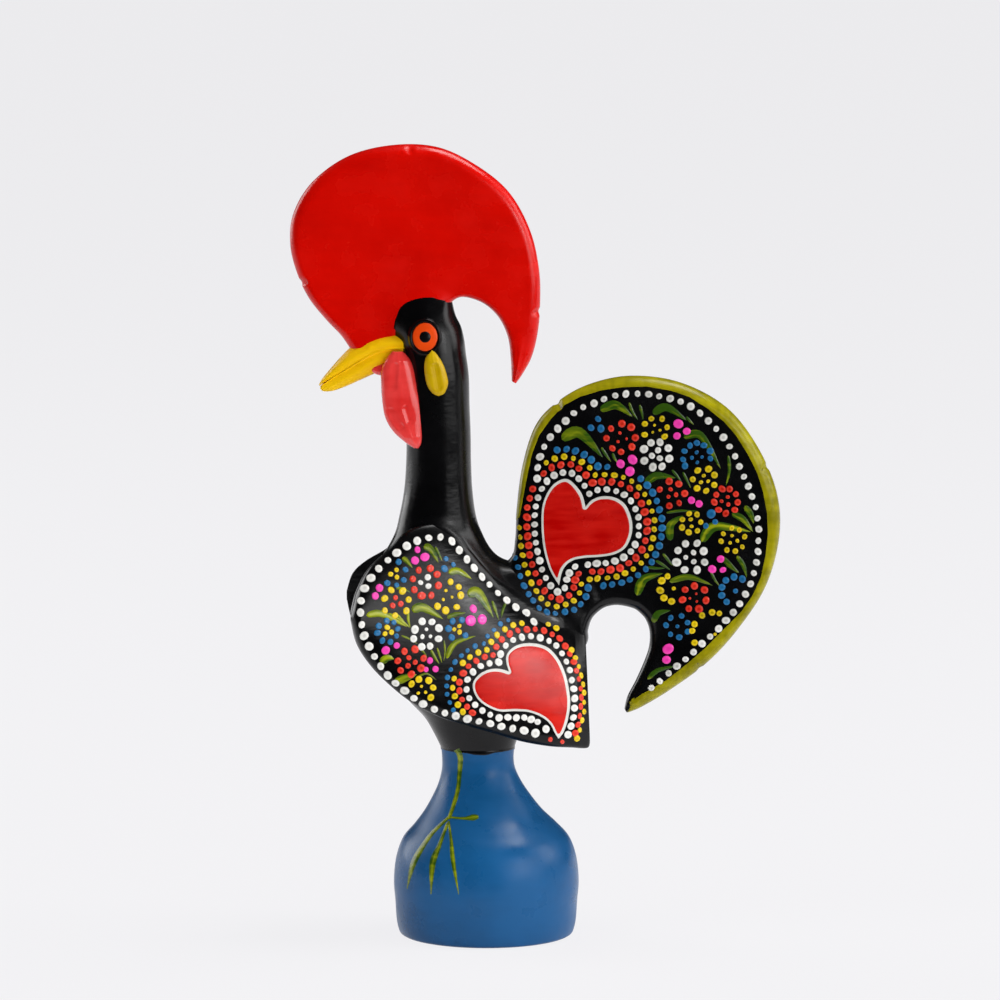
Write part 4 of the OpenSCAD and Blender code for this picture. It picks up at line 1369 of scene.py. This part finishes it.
def build_paint_line():
    """Black and blue paint that run a little over the seam between body and pedestal."""
    laid = []
    for name, paint, r, first, last in (("black", BLACK, MOUTH_R + 0.22, None, MOUTH_Z + SEAM_REACH),
                                        ("blue", BLUE, MOUTH_R + 0.2, MOUTH_Z - SEAM_REACH, None)):
        rings = []
        for a in turns(RING_POINTS):
            turn = abs(degrees(remainder(a, 2 * pi)))
            out = np.array([cos(a), sin(a), 0])
            line = float(np.interp(turn, *zip(*PAINT_LINE))) + 0.25 * unevenness(out * 9, 5)
            low = min(MOUTH_Z - 0.2, line) if first is None else first
            high = max(MOUTH_Z + 0.2, line) if last is None else last
            profile = [(low, -0.4), (low, -0.05), (low + 0.15, 0)]
            profile += [(high - 0.15, 0), (high, -0.05), (high, -0.4)]
            rings.append([np.array([-LEAN, 0, 0]) + out * (r + off) + [0, 0, z] for z, off in profile])
        laid.append(skin(rings, closed=True))
        piece(f"seam_paint_{name}", laid[-1], paint)
    return laid


TAIL = shifted(skin(slab_rings(TAIL_ROWS, TAIL_T, TAIL_ROOT_T, SLAB_EDGE)), BODY_AT)
CREST = shifted(skin(slab_rings(CREST_ROWS, CREST_T, CREST_T, SLAB_EDGE)), HEAD_AT)
WINGS = {name: shifted(skin([wing_ring(r, side) for r in smooth_rows(side_rows(side), SLAB_STEPS)]), BODY_AT)
         for name, side in SIDES.items()}
PEDESTAL = build_pedestal()
TRUNK = build_trunk()
CREST_SIGHT = build_crest()
TAIL_SIGHT = build_tail()
WING_SIGHTS = build_wings()
build_beak()
build_wattles()
build_lobes()
build_eyes()
build_rim()
build_ornaments()
FOOT_SIGHT = sight(joined(PEDESTAL, TRUNK, *build_paint_line()))
build_feet()
build_brow()


# Stage, lights and camera

# Camera place and target, in metres, and its long lens
CAMERA_AT = (-0.08674, -3.49900, 0.68498)
CAMERA_TO = (0.00488, 0.0, 0.15562)
LENS = 360
SENSOR = 36
BACKGROUND = (0.895, 0.89, 0.91)
# Share of the floor's look that is even, the rest being lit and shaded
EVEN_SHARE = 0.93
FLOOR_R = 9.0
FLOOR_FRONT = -0.19
# What the softboxes are aimed at, in metres
AIM = (0, 0, 0.14)
# Softboxes: name, azimuth and elevation in degrees, distance, width and height in metres, radiance, and
# whether the part mirrors it
SOFTBOXES = [
    ("top", 100, 68, 1.5, (0.8, 0.7), 9.0, True),
    ("key_right", 48, 11, 1.5, (1.2, 0.7), 2.5, True),
    ("glint", 43, 14, 1.5, (0.14, 0.22), 14.0, True),
    ("side_right", 92, 22, 1.5, (0.8, 0.8), 3.6, True),
    ("side_left", -125, 16, 1.5, (0.9, 1.0), 3.4, True),
    ("high_left", -60, 45, 1.5, (0.8, 0.8), 2.4, False),
    ("front", 8, -2, 1.6, (1.2, 0.7), 5.6, False),
]
# Room brightness: how much a way points to the back, from and to, and the brightness at these two
ROOM = (-0.5, 0.3, 0.02, 0.7)


def shown_to_eye(tree):
    """1 for camera, mirror and see-through rays, 0 for the light that surfaces give each other."""
    path = add(tree, "LightPath", {}).outputs
    first = add(tree, "Math", {0: path["Is Camera Ray"], 1: path["Is Glossy Ray"]}, operation="ADD")
    terms = {0: first.outputs[0], 1: path["Is Transmission Ray"]}
    return add(tree, "Math", terms, operation="ADD", use_clamp=True).outputs[0]


def stage_material():
    """Pale floor that keeps the object's shadow, and shows even and near white."""
    material, tree = new_material("studio floor")
    tree.nodes.clear()
    paint = add(tree, "BsdfDiffuse", {"Color": (*BACKGROUND, 1)})
    glow = add(tree, "Emission", {"Color": (*BACKGROUND, 1), "Strength": 1})
    share = add(tree, "Math", {0: shown_to_eye(tree), 1: EVEN_SHARE}, operation="MULTIPLY")
    mix = add(tree, "MixShader", {0: share.outputs[0], 1: paint.outputs[0], 2: glow.outputs[0]})
    add(tree, "OutputMaterial", {"Surface": mix.outputs[0]})
    return material


def build_stage():
    """Round-backed floor that ends a little in front of the part, whose face so mirrors the dark room."""
    points = [(-FLOOR_R, FLOOR_FRONT, 0), (FLOOR_R, FLOOR_FRONT, 0)]
    points += [(FLOOR_R * cos(a), FLOOR_R * sin(a), 0) for a in np.linspace(0, pi, 48)]
    mesh = bpy.data.meshes.new("studio_floor")
    mesh.from_pydata(points, [], [tuple(range(len(points)))])
    mesh.materials.append(stage_material())
    floor = placed("studio_floor", mesh)


def softbox(name, azimuth, elevation, distance, size, radiance, mirrored):
    """Rectangular light of even brightness, aimed at the part."""
    a, e = radians(azimuth), radians(elevation)
    way = Vector((sin(a) * cos(e), -cos(a) * cos(e), sin(e)))
    data = bpy.data.lights.new(name, "AREA")
    data.shape = "RECTANGLE"
    data.size, data.size_y = size
    data.energy = radiance * pi * size[0] * size[1]
    lamp = placed(name, data)
    lamp.location = Vector(AIM) + way * distance
    lamp.rotation_euler = (-way).to_track_quat("-Z", "Y").to_euler()
    lamp.visible_glossy = mirrored
    data.cycles.use_multiple_importance_sampling = mirrored


def build_room():
    """Room that is dark before the part and bright behind it, seen by the camera as plain background."""
    world = bpy.data.worlds.new("studio")
    world.use_nodes = True
    bpy.context.scene.world = world
    tree = world.node_tree
    way = add(tree, "TexCoord", {}).outputs["Generated"]
    back = add(tree, "SeparateXYZ", {0: way}).outputs["Y"]
    ends = dict(zip(("From Min", "From Max", "To Min", "To Max"), ROOM))
    shade = add(tree, "MapRange", {"Value": back, **ends}, interpolation_type="SMOOTHSTEP")
    room = tree.nodes["Background"]
    feed(tree, room, {"Strength": shade.outputs["Result"]})
    seen = add(tree, "Background", {"Color": (*BACKGROUND, 1)})
    eye = add(tree, "LightPath", {}).outputs["Is Camera Ray"]
    mix = add(tree, "MixShader", {0: eye, 1: room.outputs[0], 2: seen.outputs[0]})
    feed(tree, tree.nodes["World Output"], {"Surface": mix.outputs[0]})


def build_camera():
    data = bpy.data.cameras.new("camera")
    data.lens, data.sensor_width = LENS, SENSOR
    data.clip_start, data.clip_end = 0.1, 20
    camera = placed("camera", data)
    camera.location = CAMERA_AT
    camera.rotation_euler = (Vector(CAMERA_TO) - Vector(CAMERA_AT)).to_track_quat("-Z", "Y").to_euler()
    bpy.context.scene.camera = camera


build_stage()
for softbox_row in SOFTBOXES:
    softbox(*softbox_row)
build_room()
build_camera()
bpy.context.scene.view_settings.view_transform = "Standard"
